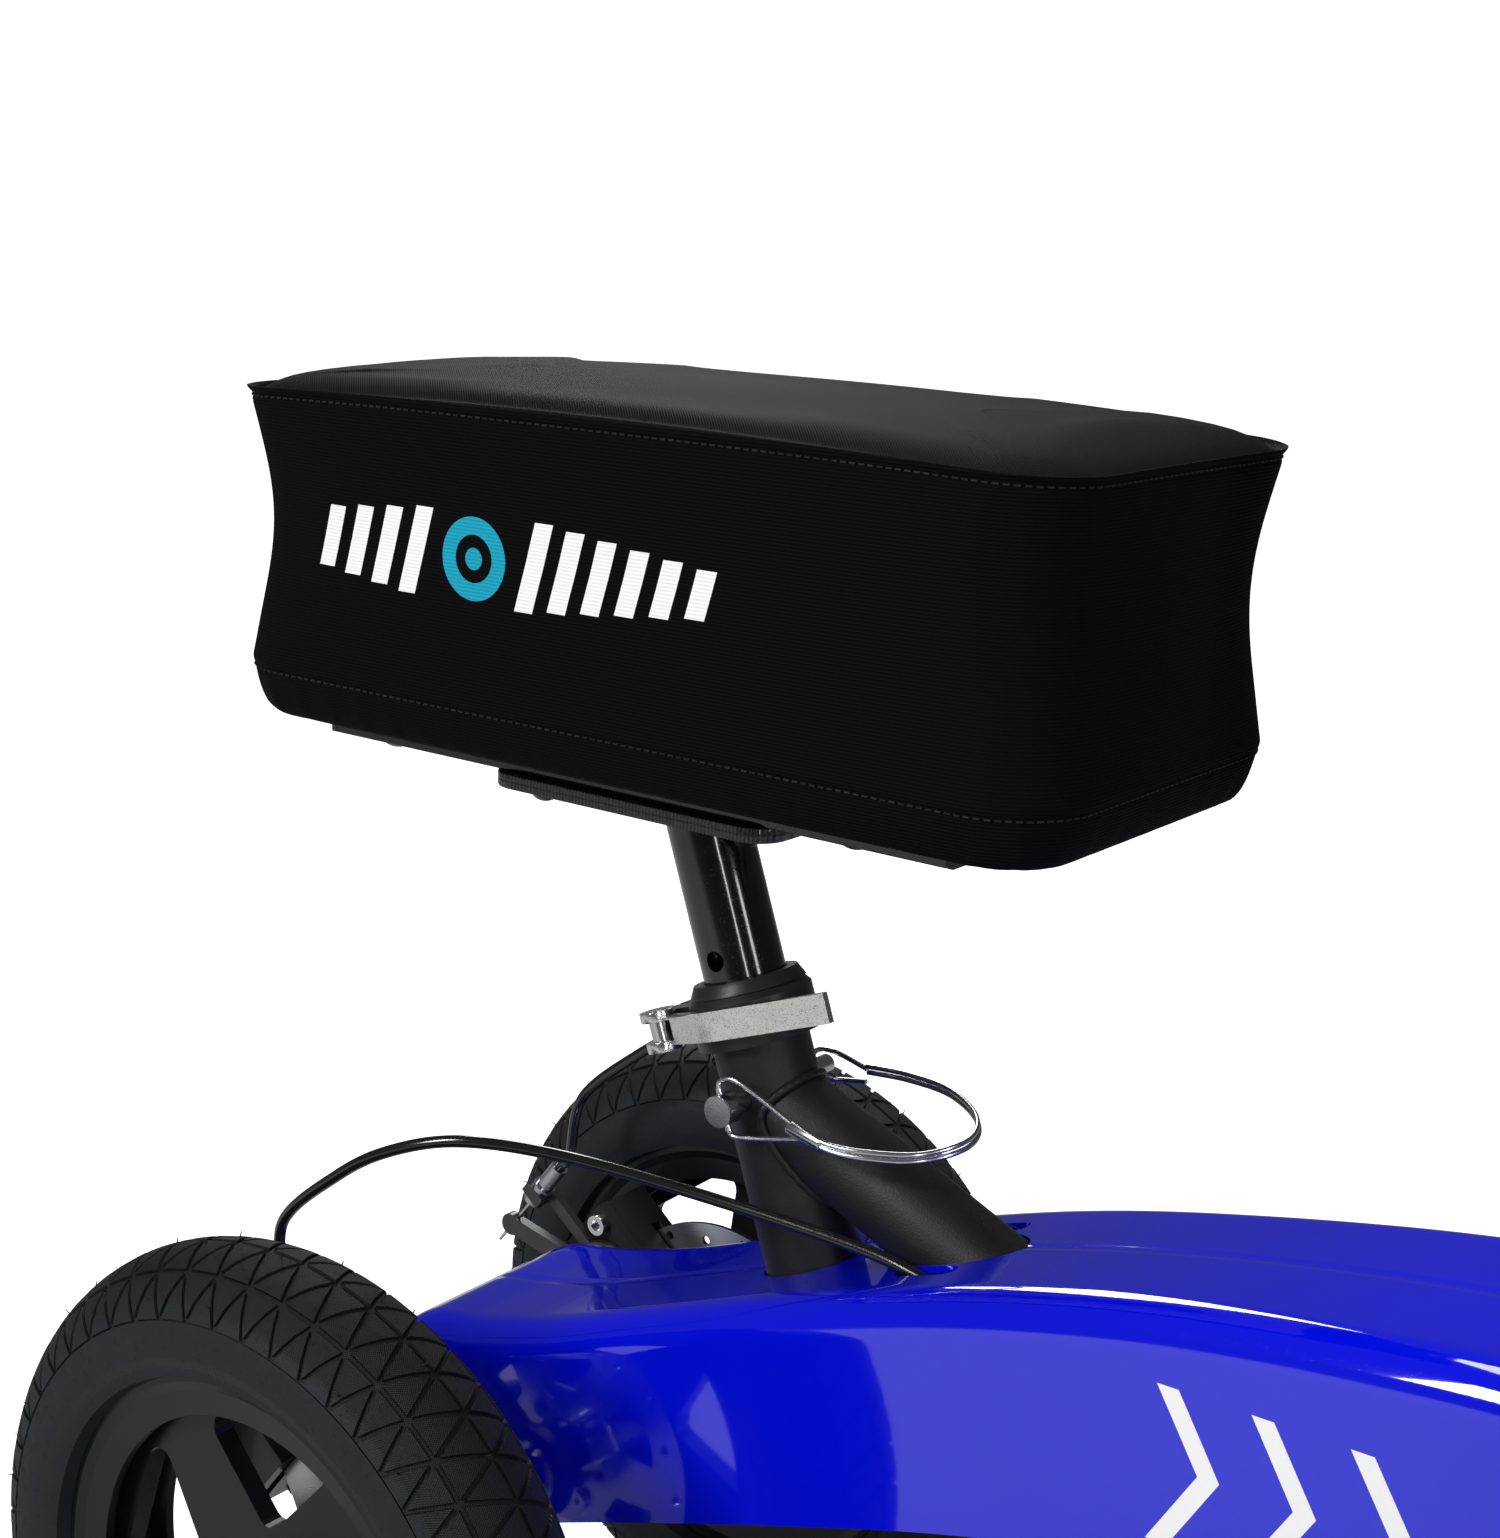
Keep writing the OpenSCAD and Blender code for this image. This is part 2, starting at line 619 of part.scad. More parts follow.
// Cam lever that lies along the sleeve: a fork round the bolt's pin, a bar that meets the
// sleeve's side, a band round it and a straight tip. Its pin is along Z at the origin, and
// the sleeve's axis is reach ahead of it and 20 to the side.
module cam_lever(reach, band_r, tip) {
    middle = band_r + 1.8;
    far = sqrt(reach * reach + 400);
    start = 270 + atan2(20, reach) - asin(middle / far);
    finish = 276;
    // Places along the bar's middle line, each with the direction square to the bar
    bend = [for (k = [0 : 5]) let (t = start + (finish - start) * k / 5)
        [reach + middle * cos(t), 20 + middle * sin(t), t]];
    end = [bend[5][0] + tip * cos(finish - 270), bend[5][1] + tip * sin(finish - 270), finish];
    places = concat([[0, 0, start]], bend, [end]);
    n = len(places) - 1;
    difference() {
        union() {
            translate([0, 0, -8.3]) cylinder(d = 15, h = 16.6);
            translate([0, 0, -6]) linear_extrude(12) polygon(concat(
                [for (p = places) [p[0] + 1.8 * cos(p[2]), p[1] + 1.8 * sin(p[2])]],
                [for (i = [n : -1 : 0]) let (p = places[i]) [p[0] - 1.8 * cos(p[2]), p[1] - 1.8 * sin(p[2])]]));
        }
        translate([0, 0, -10]) cylinder(d = 9 + 2 * run, h = 20);
        translate([-9, -10, -4.2]) cube([18, 30, 8.4]);
    }
}

module seat_clamp_lever() color("#c4c6c9")
    on_seat_tube(seat_top - 9.5) translate([-33, -20, 0]) cam_lever(33, 26.4, 52);

// Pin across the seat tube and post
module hitch_pin() color("#c6c9cc") on_seat_tube(pin_s) difference() {
    union() {
        translate([0, 0.5, 0]) cross(pin_d, 75);
        translate([0, head_y, 0]) cross(12.7, 9);
    }
    translate([0, head_y, -10]) cylinder(d = 2.8 + 2 * run, h = 20);
}

// Sprung wire ring: it turns in a hole drilled across the pin's head, runs double round the
// front of the strut, and has an eye that springs over the pin's far end
head_y = -32.5;
near_low = [[34, -30, -15.8], [18, -31, -14], [8, -32, -12.6], [1.5, -32.5, -11], [0, -32.5, -7.6]];
near_high = [[0, -32.5, 7.6], [1.5, -32.5, 11], [8, -32, 11], [18, -30.6, 2], [30, -29.5, -10]];
front_loop = [[44, -31, -19], [60, -27, -25], [78, -17, -30], [88, 0, -30], [82, 17, -25], [64, 29, -16], [42, 34, -9]];
far_eye = [[22, 35, -4], [8, 34.5, 5], [-1, 34.5, 6.4], [-6.3, 34.5, 1], [-3.5, 34.5, -5.5],
    [4, 34.5, -6.4], [20, 35, -9]];

module pin_ring() color("#ccd0d4") on_seat_tube(pin_s) {
    cord(smooth(near_low, 2), 2.4, 8);
    cord(smooth(concat(near_high, front_loop, far_eye), 2), 2.4, 8);
    translate([0, head_y, -8.6]) cylinder(d = 2.8, h = 17.2);
    // Crimped sleeve that joins the wire's two strands
    rod([28, -29.5, -11], [45, -31, -20], 6.4);
}

// ---------- Knee pad ----------

module seat_post() color("#0d0d0f") on_seat_tube(post_foot) difference() {
    intersection() {
        cylinder(d = post_d, h = post_top - post_foot + 20);
        // Cut level under the plate
        translate([0, 0, -post_foot]) rotate([0, seat_lean, 0])
            translate([-100, -50, -200]) cube([300, 100, 200 + rail_z - plate_t - seat_z]);
    }
    translate([0, 0, -1]) cylinder(d = post_d - 2 * post_wall, h = post_top - post_foot + 40);
    // Guide slot for the hitch pin and the round hole above it
    translate([-(pin_d + 0.4) / 2, -30, slot_low + 4.2 - post_foot]) cube([pin_d + 0.4, 60, slot_high - slot_low - 8.4]);
    for (s = [slot_low + 4.2, slot_high - 4.2, 119]) translate([0, 0, s - post_foot]) cross(pin_d + 0.4, 60);
}

// Plate welded to the post's top
module post_plate() color("#141416") difference() {
    translate([rear_x + 49, 0, rail_z - plate_t]) linear_extrude(plate_t) rounded(146, 44, 14);
    for (p = plate_bolts) translate([rear_x + p[0], p[1], rail_z - 10]) cylinder(d = 6, h = 12);
}

// Places of the bolts from the rear axle: plate to rail, and rail to board
plate_bolts = [[-1, -9], [-1, 9], [104, -9], [104, 9]];
board_bolts = [[-95, 0], [150, 0]];

// Round-headed bolts: the plate to the rail, and the rail to the cushion's board
module dome_bolts() color("#2a2b2e") {
    for (p = plate_bolts) translate([rear_x + p[0], p[1], rail_z - plate_t]) dome_bolt(14, 6, 18);
    for (p = board_bolts) translate([rear_x + p[0], p[1], rail_z]) dome_bolt(18, 8, rail_h + board_t - 4);
}

module dome_bolt(head, d, l) {
    dome_head(head, 5.5);
    cylinder(d = d, h = l);
}

module pad_rail() color("#161618") difference() {
    translate([rail_x - rail_l / 2, -rail_w / 2, rail_z]) cube([rail_l, rail_w, rail_h]);
    translate([rail_x - rail_l / 2 - 1, -rail_w / 2 + 2.5, rail_z + 2.5]) cube([rail_l + 2, rail_w - 5, rail_h - 5]);
    for (p = plate_bolts) translate([rear_x + p[0], p[1], rail_z - 1]) cylinder(d = 6, h = 4.5);
    for (p = board_bolts) translate([rear_x + p[0], p[1], rail_z - 1]) cylinder(d = 8, h = rail_h + 2);
}

module rail_caps() color("#2b2c2e") {
    for (side = [-1, 1]) translate([rail_x + side * rail_l / 2, 0, rail_z + rail_h / 2]) {
        translate([side * 1.5, 0, 0]) cube([3, rail_w, rail_h], center = true);
        translate([-side * 6, 0, 0]) cube([12, rail_w - 5, rail_h - 5], center = true);
    }
}

module pad_board() color("#7d6340") difference() {
    translate([pad_x - pad_l / 2 + 12, -pad_w / 2 + 12, board_z]) cube([pad_l - 24, pad_w - 24, board_t]);
    for (p = board_bolts) translate([rear_x + p[0], p[1], board_z - 1]) cylinder(d = 8, h = board_t - 3);
}

// Cushion with upright rounded corners and a slightly domed top
module knee_pad() color("#1b1b1c") {
    intersection() {
        translate([pad_x, 0, pad_z]) linear_extrude(pad_h) rounded(pad_l, pad_w, 26);
        translate([pad_x, 0, pad_z + pad_h - 1500]) rotate([90, 0, 0]) cylinder(r = 1500, h = 300, center = true, $fn = 180);
    }
}

module rounded(l, w, r) {
    square([l - 2 * r, w], center = true);
    square([l, w - 2 * r], center = true);
    for (x = [-1, 1], y = [-1, 1]) translate([x * (l / 2 - r), y * (w / 2 - r)]) circle(r);
}

// ---------- Steering ----------

module steerer() color("#26272a") difference() {
    union() {
        on_column(18) cylinder(d = shaft_d, h = fold_s - 40);
        on_column(pitman_s - 7) cylinder(d = 38, h = 14);
        on_column(pitman_s - 4) translate([-pitman_l, -9, 0]) cube([pitman_l, 18, 8]);
        on_column(pitman_s - 4) translate([-pitman_l, 0, 0]) cylinder(d = 18, h = 8);
        // Stud under the arm for the tie rods
        on_column(pitman_s - 20) translate([-pitman_l, 0, 0]) cylinder(d = 8, h = 20);
        on_column(pitman_s - 21.4) translate([-pitman_l, 0, 0]) cylinder(d = 13, h = 3, $fn = 6);
        // Crown over the upper bearing and the hinge's fork
        on_column(head_high + gap) cylinder(d = 44, h = 12);
        on_column(head_high + 10) translate([-19, -20.4, 0]) cube([33, 40.8, 10]);
        for (side = [-1, 1]) on_column(fold_s) {
            translate([0, side * 17.25, 0]) cross(33, 5.5);
            translate([-16, side * 17.25 - 2.75, -28]) cube([28, 5.5, 28]);
        }
        on_column(head_high + 12) translate([-32.5, -10, 0]) cube([18, 20, 9]);
    }
    on_column(fold_s) cross(fold_pin_d, 60);
    on_column(head_high + 17) translate([-27, 0, 0]) cross(6, 60);
    on_column(head_high + 11) translate([-33, -4 - gap, -1]) cube([14, 8 + 2 * gap, 12]);
}

module fold_pin() color("#b4b7bb") {
    on_column(fold_s) cross(fold_pin_d, 42);
    for (side = [-1, 1]) on_column(fold_s) translate([0, side * 21.5, 0]) cross(15, 3);
    on_column(head_high + 17) translate([-27, 0, 0]) cross(6, 20);
}

// Catch behind the column that locks the stem upright
module fold_latch() color("#b8babd") difference() {
    on_column(head_high + 17) union() {
        translate([-27, 0, 0]) cross(12, 8);
        translate([-33, -4, 0]) cube([8, 8, 62]);
        translate([-33, -4, 50]) cube([14.8, 8, 6]);
        translate([-45, -4, 58]) cube([20, 8, 5]);
    }
    on_column(head_high + 17) translate([-27, 0, 0]) cross(6 + 2 * run, 20);
}

module lower_stem() color("#161618") difference() {
    union() {
        on_column(fold_s) cross(30, 28);
        on_column(fold_s) translate([-15, -14, 0]) cube([30, 28, 26]);
        on_column(fold_s + 20) cylinder(d = stem_d, h = stem_top - fold_s - 20);
        // Keeper that the latch hooks over
        on_column(fold_s + 24) translate([-21, -7, -4]) cube([10, 14, 5]);
    }
    on_column(fold_s) cross(fold_pin_d + 2 * run, 60);
    on_column(fold_s + 40) cylinder(d = upper_d + 2 * run, h = stem_top);
}

module stem_collar() color("#1f1f21") on_column(stem_top - 21) rotate(180) difference() {
    union() {
        clamp_sleeve(stem_d + 10, stem_d, 21);
        translate([0, 0, 21]) cylinder(d1 = stem_d + 6, d2 = stem_d + 2, h = 4);
    }
    translate([0, 0, 21]) cylinder(d = upper_d + 2 * gap, h = 8);
    translate([-stem_d / 2 - 12.5, 0, 11.5]) cross(6.2, 40);
}

module stem_clamp_bolt() color("#c9ccd0")
    on_column(stem_top - 9.5) rotate(180) translate([-stem_d / 2 - 12.5, 0, 0]) clamp_bolt();

module stem_clamp_lever() color("#c4c6c9")
    on_column(stem_top - 9.5) rotate(180) translate([-stem_d / 2 - 12.5, -20, 0])
        cam_lever(stem_d / 2 + 12.5, stem_d / 2 + 6, 40);

// Telescoping stem with the handlebar's clamp on top
module upper_stem() color("#0e0e10") difference() {
    union() {
        on_column(upper_foot) cylinder(d = upper_d, h = bar_s - upper_foot);
        on_column(bar_s) cross(38, 46);
    }
    on_column(upper_foot - 1) cylinder(d = upper_d - 5, h = bar_s - upper_foot - 30);
    on_column(bar_s) cross(bar_d + 0.1, 60);
}

// Handlebar: straight in the clamp, then rising and sweeping back to the grips
bar_bend = [[0, 60, 0], [12, 112, 26], [24, bar_w / 2, 30]];

function bar_point(p, side) = column_point([p[0], p[1], bar_s + p[2]], side);

module handlebar() color("#101012") {
    on_column(bar_s) cross(bar_d, 120);
    for (side = [-1, 1]) {
        for (i = [0, 1]) rod(bar_point(bar_bend[i], side), bar_point(bar_bend[i + 1], side), bar_d);
        for (i = [0, 1]) translate(bar_point(bar_bend[i], side)) sphere(d = bar_d + 0.6);
    }
}

// Direction of a grip, and points along it from the bar's end
function grip_point(side, d) =
    let (a = bar_point(bar_bend[1], side), b = bar_point(bar_bend[2], side)) b + (a - b) * d / norm(a - b);

// Puts its children on a grip, Z inward from the bar's end, X forward
module on_grip(side, d) {
    a = grip_point(side, 0);
    b = grip_point(side, 100);
    v = b - a;
    translate(grip_point(side, d))
        rotate([0, acos(v[2] / norm(v)), atan2(v[1], v[0])]) children();
}

module grips() color("#1a1a1c") {
    for (side = [-1, 1]) on_grip(side, -4) difference() {
        union() {
            cylinder(d = 31, h = grip_l);
            cylinder(d = 35, h = 5);
            translate([0, 0, grip_l - 4]) cylinder(d = 37, h = 4);
        }
        translate([0, 0, 4]) cylinder(d = bar_d + 0.1, h = grip_l);
    }
}

// The brake levers' frame: origin on the bar's axis inboard of the grip

module at_lever(side) {
    p = grip_point(side, lever_in);
    q = grip_point(side, 0);
    turn = atan2(q[1] - p[1], q[0] - p[0]);
    // X outward along the grip, Y forward
    translate(p) rotate([0, 0, turn]) mirror([0, side > 0 ? 1 : 0, 0]) children();
}

// Clamp round the bar with the lever's fork and the cable's stop
module lever_brackets() color("#232427") {
    for (side = [-1, 1]) at_lever(side) difference() {
        union() {
            rod([-9, 0, 0], [9, 0, 0], 32);
            translate([-9, 4, -12]) cube([18, 26, 24]);
            translate([0, 30, -12]) cylinder(d = 18, h = 24);
            rod([-28, 22, 0], [-4, 22, 0], 10);
        }
        rod([-20, 0, 0], [20, 0, 0], bar_d + 0.1);
        translate([-7.4, 15, -6]) cube([34, 30, 12]);
        translate([0, 30, -20]) cylinder(d = 5, h = 40);
        rod([-29, 22, 0], [-20, 22, 0], 5.6);
        rod([-21, 22, 0], [-6, 22, 0], 2);
    }
}

module brake_lever(side) color("#2a2b2f") at_lever(side) difference() {
    union() {
        translate([0, 30, -5.5]) cylinder(d = 14, h = 11);
        translate([0, 30, -12]) cylinder(d = 5 - 2 * run, h = 24);
        rod([1, 30.5, 0], [26, 44, 0], 9.6);
        rod([26, 44, 0], [106, 48, 0], 9.6);
        translate([26, 44, 0]) sphere(d = 11.4);
        translate([107, 48.05, 0]) sphere(d = 13);
    }
}

module brake_lever_left() brake_lever(1);
module brake_lever_right() brake_lever(-1);

// Steering knuckle: a fork over the kingpin's boss, its pin, the stub axle and the steering arm
module knuckle(side) color("#2a2b2e") difference() {
    union() {
        translate([front_x, side * kingpin_y, 164]) cylinder(d = kingpin_d, h = knuckle_z - 158);
        for (z = [164, 220.5]) translate([front_x, side * kingpin_y, z]) cylinder(d = 28, h = 7.5);
        translate([front_x - 14, side > 0 ? kingpin_y : -kingpin_y - 21.5, 164]) cube([28, 21.5, 7.5]);
        translate([front_x - 14, side > 0 ? kingpin_y : -kingpin_y - 21.5, 220.5]) cube([28, 21.5, 7.5]);
        translate([front_x - 14, side * (kingpin_y + 18.3) - 3.2, 138]) cube([28, 6.4, 90]);
        // Stub axle with its lock nut
        translate([front_x, side * (half_track + 34 + kingpin_y + 18) / 2, axle_z])
            cross(axle_d, half_track + 34 - kingpin_y - 18);
        translate([front_x, side * (half_track + hub_half + gap + 4), axle_z]) cross_hex(19, 8);
        translate([front_x, side * (kingpin_y + 21 + (half_track - hub_half - gap)) / 2, axle_z])
            cross(20, half_track - hub_half - gap - kingpin_y - 21);
        // Steering arm and the stud that the tie rod drops over
        translate([front_x - knuckle_l, side * kingpin_y - 8, 220.5]) cube([knuckle_l, 16, 7.5]);
        translate([front_x - knuckle_l, side * kingpin_y, 220.5]) cylinder(d = 18, h = 7.5);
        translate([front_x - knuckle_l, side * kingpin_y, 228]) cylinder(d = 8, h = 14);
        translate([front_x - knuckle_l, side * kingpin_y, 240.5]) cylinder(d = 14, h = 3, $fn = 6);
    }
}

module cross_hex(d, l) {
    rotate([90, 0, 0]) cylinder(d = d, h = l, center = true, $fn = 6);
}

module knuckle_left() knuckle(1);
module knuckle_right() knuckle(-1);

// Tie rods: both start on the pitman's stud, the left one above the right one
module tie_rod(side) color("#b0b3b7") {
    level = pitman_s - (side > 0 ? 11 : 17.6);
    inner = column_point([pitman_l, 0, level + 2.8], side);
    outer = [front_x - knuckle_l, side * kingpin_y, 234];
    difference() {
        union() {
            on_column(level) translate([-pitman_l, 0, 0]) cylinder(d = 17, h = 5.6);
            translate(outer - [0, 0, 3.5]) cylinder(d = 20, h = 7);
            rod(inner + [1, side * 5, 0], outer - [0, side * 8, 0], 5.4);
        }
        on_column(level - 2) translate([-pitman_l, 0, 0]) cylinder(d = 8 + 2 * run, h = 12);
        translate(outer - [0, 0, 6]) cylinder(d = 8 + 3, h = 12);
    }
}

module tie_rod_left() tie_rod(1);
module tie_rod_right() tie_rod(-1);

main_frame();
body_shell();
under_tray();
rear_axle();
rear_axle_nuts();
caliper_brackets();
caliper_bodies();
caliper_screws();
cable_adjusters();
brake_cable_left();
brake_cable_right();
head_bearings();
seat_clamp_collar();
seat_clamp_bolt();
seat_clamp_lever();
hitch_pin();
pin_ring();
seat_post();
post_plate();
dome_bolts();
pad_rail();
rail_caps();
pad_board();
knee_pad();
steerer();
fold_pin();
fold_latch();
lower_stem();
stem_collar();
stem_clamp_bolt();
stem_clamp_lever();
upper_stem();
handlebar();
grips();
lever_brackets();
brake_lever_left();
brake_lever_right();
knuckle_left();
knuckle_right();
tie_rod_left();
tie_rod_right();
caliper_arm_left();
caliper_arm_right();
tyre_rear_left();
tyre_rear_right();
tyre_front_left();
tyre_front_right();
rim_rear_left();
rim_rear_right();
rim_front_left();
rim_front_right();
bearings_rear_left();
bearings_rear_right();
bearings_front_left();
bearings_front_right();
brake_disc_left();
brake_disc_right();
disc_bolts_left();
disc_bolts_right();
hub_caps_rear();
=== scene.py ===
"""Knee scooter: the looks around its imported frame.

Metres, with +X forward, +Y to the rider's left and +Z up. The origin lies on the ground,
midway between the axles.
"""
import math

import bpy
from mathutils import Matrix, Vector


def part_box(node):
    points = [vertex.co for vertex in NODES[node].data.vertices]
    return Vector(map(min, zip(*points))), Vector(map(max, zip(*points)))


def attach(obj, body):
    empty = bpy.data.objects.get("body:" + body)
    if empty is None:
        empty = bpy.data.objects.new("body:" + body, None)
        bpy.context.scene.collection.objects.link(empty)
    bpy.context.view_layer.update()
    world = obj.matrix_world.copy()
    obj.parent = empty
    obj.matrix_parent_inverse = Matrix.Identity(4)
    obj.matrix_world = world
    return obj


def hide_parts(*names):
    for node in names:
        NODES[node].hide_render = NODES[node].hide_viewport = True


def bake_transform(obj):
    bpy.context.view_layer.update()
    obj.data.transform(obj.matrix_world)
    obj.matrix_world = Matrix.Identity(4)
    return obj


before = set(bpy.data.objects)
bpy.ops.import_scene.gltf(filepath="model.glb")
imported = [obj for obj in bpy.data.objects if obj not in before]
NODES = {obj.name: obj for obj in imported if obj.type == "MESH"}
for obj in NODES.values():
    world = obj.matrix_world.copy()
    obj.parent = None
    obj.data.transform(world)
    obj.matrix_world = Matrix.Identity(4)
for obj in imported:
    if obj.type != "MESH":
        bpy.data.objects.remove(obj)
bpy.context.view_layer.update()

MM = 0.001
REAR_X, FRONT_X = -0.280, 0.280
AXLE_Z = 0.153


# ---------- Shader maths ----------

class Num:
    """A number that varies over a surface. Arithmetic on it adds Math nodes."""

    def __init__(self, paint, socket):
        self.paint, self.socket = paint, socket

    def math(self, operation, other=None, first=None):
        values = {0: self if first is None else first}
        if other is not None:
            values[1] = other
        node = self.paint.node("ShaderNodeMath", {"operation": operation}, values)
        return Num(self.paint, node.outputs[0])

    def __add__(self, other): return self.math("ADD", other)
    def __radd__(self, other): return self.math("ADD", other)
    def __sub__(self, other): return self.math("SUBTRACT", other)
    def __rsub__(self, other): return self.math("SUBTRACT", self, other)
    def __mul__(self, other): return self.math("MULTIPLY", other)
    def __rmul__(self, other): return self.math("MULTIPLY", other)
    def __truediv__(self, other): return self.math("DIVIDE", other)
    def __abs__(self): return self.math("ABSOLUTE")
    def __gt__(self, other): return self.math("GREATER_THAN", other)
    def __lt__(self, other): return self.math("LESS_THAN", other)
    def sin(self): return self.math("SINE")
    def sqrt(self): return self.math("SQRT")
    def least(self, other): return self.math("MINIMUM", other)
    def most(self, other): return self.math("MAXIMUM", other)
    def turn_of(self, other): return self.math("ARCTAN2", other)

    def fade(self, start, end):
        """0 before start, 1 after end, smooth between."""
        node = self.paint.node("ShaderNodeMapRange", {"interpolation_type": "SMOOTHSTEP"},
                               {"Value": self, "From Min": start, "From Max": end})
        return Num(self.paint, node.outputs[0])


class Paint:
    """One material, with the nodes that vary it."""

    def __init__(self, name, colour, roughness, metallic=0.0, **constants):
        self.material = bpy.data.materials.new(name)
        self.material.use_nodes = True
        self.tree = self.material.node_tree
        self.shader = self.tree.nodes["Principled BSDF"]
        self.shader.inputs["Base Color"].default_value = (*colour, 1)
        self.shader.inputs["Roughness"].default_value = roughness
        self.shader.inputs["Metallic"].default_value = metallic
        for key, value in constants.items():
            self.shader.inputs[key.replace("_", " ")].default_value = value
        self.material.diffuse_color = (*colour, 1)
        self.place = None

    def node(self, kind, settings=None, values=None):
        made = self.tree.nodes.new(kind)
        for key, value in (settings or {}).items():
            setattr(made, key, value)
        for key, value in (values or {}).items():
            self.feed(made.inputs[key], value)
        return made

    def feed(self, socket, value):
        if isinstance(value, Num):
            value = value.socket
        if isinstance(value, bpy.types.NodeSocket):
            self.tree.links.new(value, socket)
        else:
            socket.default_value = value

    def where(self):
        """The place on the object, as three numbers in metres."""
        if self.place is None:
            self.place = self.node("ShaderNodeTexCoord").outputs["Object"]
        split = self.node("ShaderNodeSeparateXYZ", values={0: self.place})
        return [Num(self, split.outputs[i]) for i in range(3)]

    def vector(self, x, y, z):
        return self.node("ShaderNodeCombineXYZ", values={0: x, 1: y, 2: z}).outputs[0]

    def noise(self, scale, detail=3.0, roughness=0.5, vector=None):
        if vector is None:
            self.where()
            vector = self.place
        made = self.node("ShaderNodeTexNoise", values={
            "Vector": vector, "Scale": scale, "Detail": detail, "Roughness": roughness})
        return Num(self, made.outputs["Fac"])

    def blend(self, amount, one, other):
        """A colour from one, at amount 0, to the other, at amount 1."""
        made = self.node("ShaderNodeMix", {"data_type": "RGBA"}, {"Factor": amount})
        self.feed(made.inputs[6], one if isinstance(one, bpy.types.NodeSocket) else (*one, 1))
        self.feed(made.inputs[7], other if isinstance(other, bpy.types.NodeSocket) else (*other, 1))
        return made.outputs[2]

    def colour(self, value):
        self.feed(self.shader.inputs["Base Color"], value)

    def rough(self, value):
        self.feed(self.shader.inputs["Roughness"], value)

    def bump(self, height, depth, strength=1.0):
        made = self.node("ShaderNodeBump", values={
            "Height": height, "Distance": depth, "Strength": strength})
        self.feed(self.shader.inputs["Normal"], made.outputs[0])


# ---------- Materials ----------

def powder_coat(name, colour, roughness=0.5, grain=1400, depth=0.00012):
    """Textured black coat: a fine pebble with the odd scuff."""
    p = Paint(name, colour, roughness, Specular_IOR_Level=0.30)
    pebble = p.noise(grain, 2.0)
    patch = p.noise(38, 4.0)
    p.colour(p.blend(patch, colour, [c * 1.5 + 0.002 for c in colour]))
    p.rough(roughness - 0.08 + patch * 0.16)
    p.bump(pebble + p.noise(grain / 4, 2.0) * 0.5, depth)
    return p.material


def gloss_paint(name, colour, roughness=0.12, coat=0.6):
    """Smooth paint under a clear coat, with a little dust."""
    p = Paint(name, colour, roughness, Coat_Weight=coat, Coat_Roughness=0.04)
    dust = p.noise(900, 2.0)
    p.colour(p.blend(p.noise(12, 3.0), colour, [c * 1.35 + 0.002 for c in colour]))
    p.rough(roughness + (dust > 0.66) * 0.22 + p.noise(60, 3.0) * 0.05)
    p.bump(p.noise(220, 2.0), 0.00003)
    return p.material


def body_gloss():
    """High-gloss blue moulding, with its printed chevrons and a faint orange peel."""
    deep, rich = (0.0006, 0.0030, 0.58), (0.0010, 0.0055, 0.78)
    p = Paint("body_blue_gloss", rich, 0.10, Coat_Weight=1.0, Coat_Roughness=0.03)
    x, y, z = p.where()
    tone = p.noise(5, 2.0)
    base = p.blend(tone, deep, rich)
    # Three slanted strokes and a ring, printed white on both side walls
    rise = z - (x * 0.035 + 0.2915)
    mark = None
    for start in MARK_STARTS:
        along = x - start - abs(rise) * -0.62
        stroke = (abs(along) < 0.0042) * (abs(rise) < 0.029)
        mark = stroke if mark is None else mark.most(stroke)
    ring = ((x - MARK_RING) * (x - MARK_RING) + rise * rise).sqrt()
    mark = mark.most((abs(ring - 0.024) < 0.0040) * 1.0) * (abs(y) > 0.050)
    p.colour(p.blend(mark, base, (0.97, 0.97, 0.98)))
    p.rough(0.07 + mark * 0.18 + (p.noise(1500, 1.0) > 0.70) * 0.12)
    p.bump(p.noise(60, 1.0) + mark * 0.6, 0.000004)
    return p.material


MARK_STARTS = (0.064, 0.100, 0.136)
MARK_RING = 0.196


def plastic(name, colour, roughness=0.38, grain=900, depth=0.00004):
    p = Paint(name, colour, roughness, Specular_IOR_Level=0.30)
    patch = p.noise(30, 3.0)
    p.colour(p.blend(patch, colour, [c * 1.4 + 0.0015 for c in colour]))
    p.rough(roughness - 0.05 + patch * 0.12)
    p.bump(p.noise(grain, 2.0), depth)
    return p.material


def plated_steel(name, colour=(0.70, 0.71, 0.73), roughness=0.18):
    """Bright zinc: fine streaks and slight cloudiness."""
    p = Paint(name, colour, roughness, 1.0)
    x, y, z = p.where()
    streak = p.noise(1, 3.0, vector=p.vector(x * 900, y * 160, z * 900))
    cloud = p.noise(70, 3.0)
    p.colour(p.blend(cloud, [c * 0.72 for c in colour], colour))
    p.rough(roughness - 0.06 + streak * 0.10 + cloud * 0.08)
    p.bump(streak, 0.00002)
    return p.material


def cast_alloy(name, colour=(0.78, 0.78, 0.76), roughness=0.14):
    """Cast aluminium, tumbled and polished: soft ripples, fine pores, darker hollows."""
    p = Paint(name, colour, roughness, 1.0)
    pores = p.noise(2100, 2.0)
    waves = p.noise(130, 3.0)
    p.colour(p.blend((pores > 0.60) * 0.7, colour, (0.22, 0.22, 0.22)))
    p.rough(roughness - 0.04 + waves * 0.14)
    p.bump(waves + pores * 0.25, 0.00030)
    return p.material


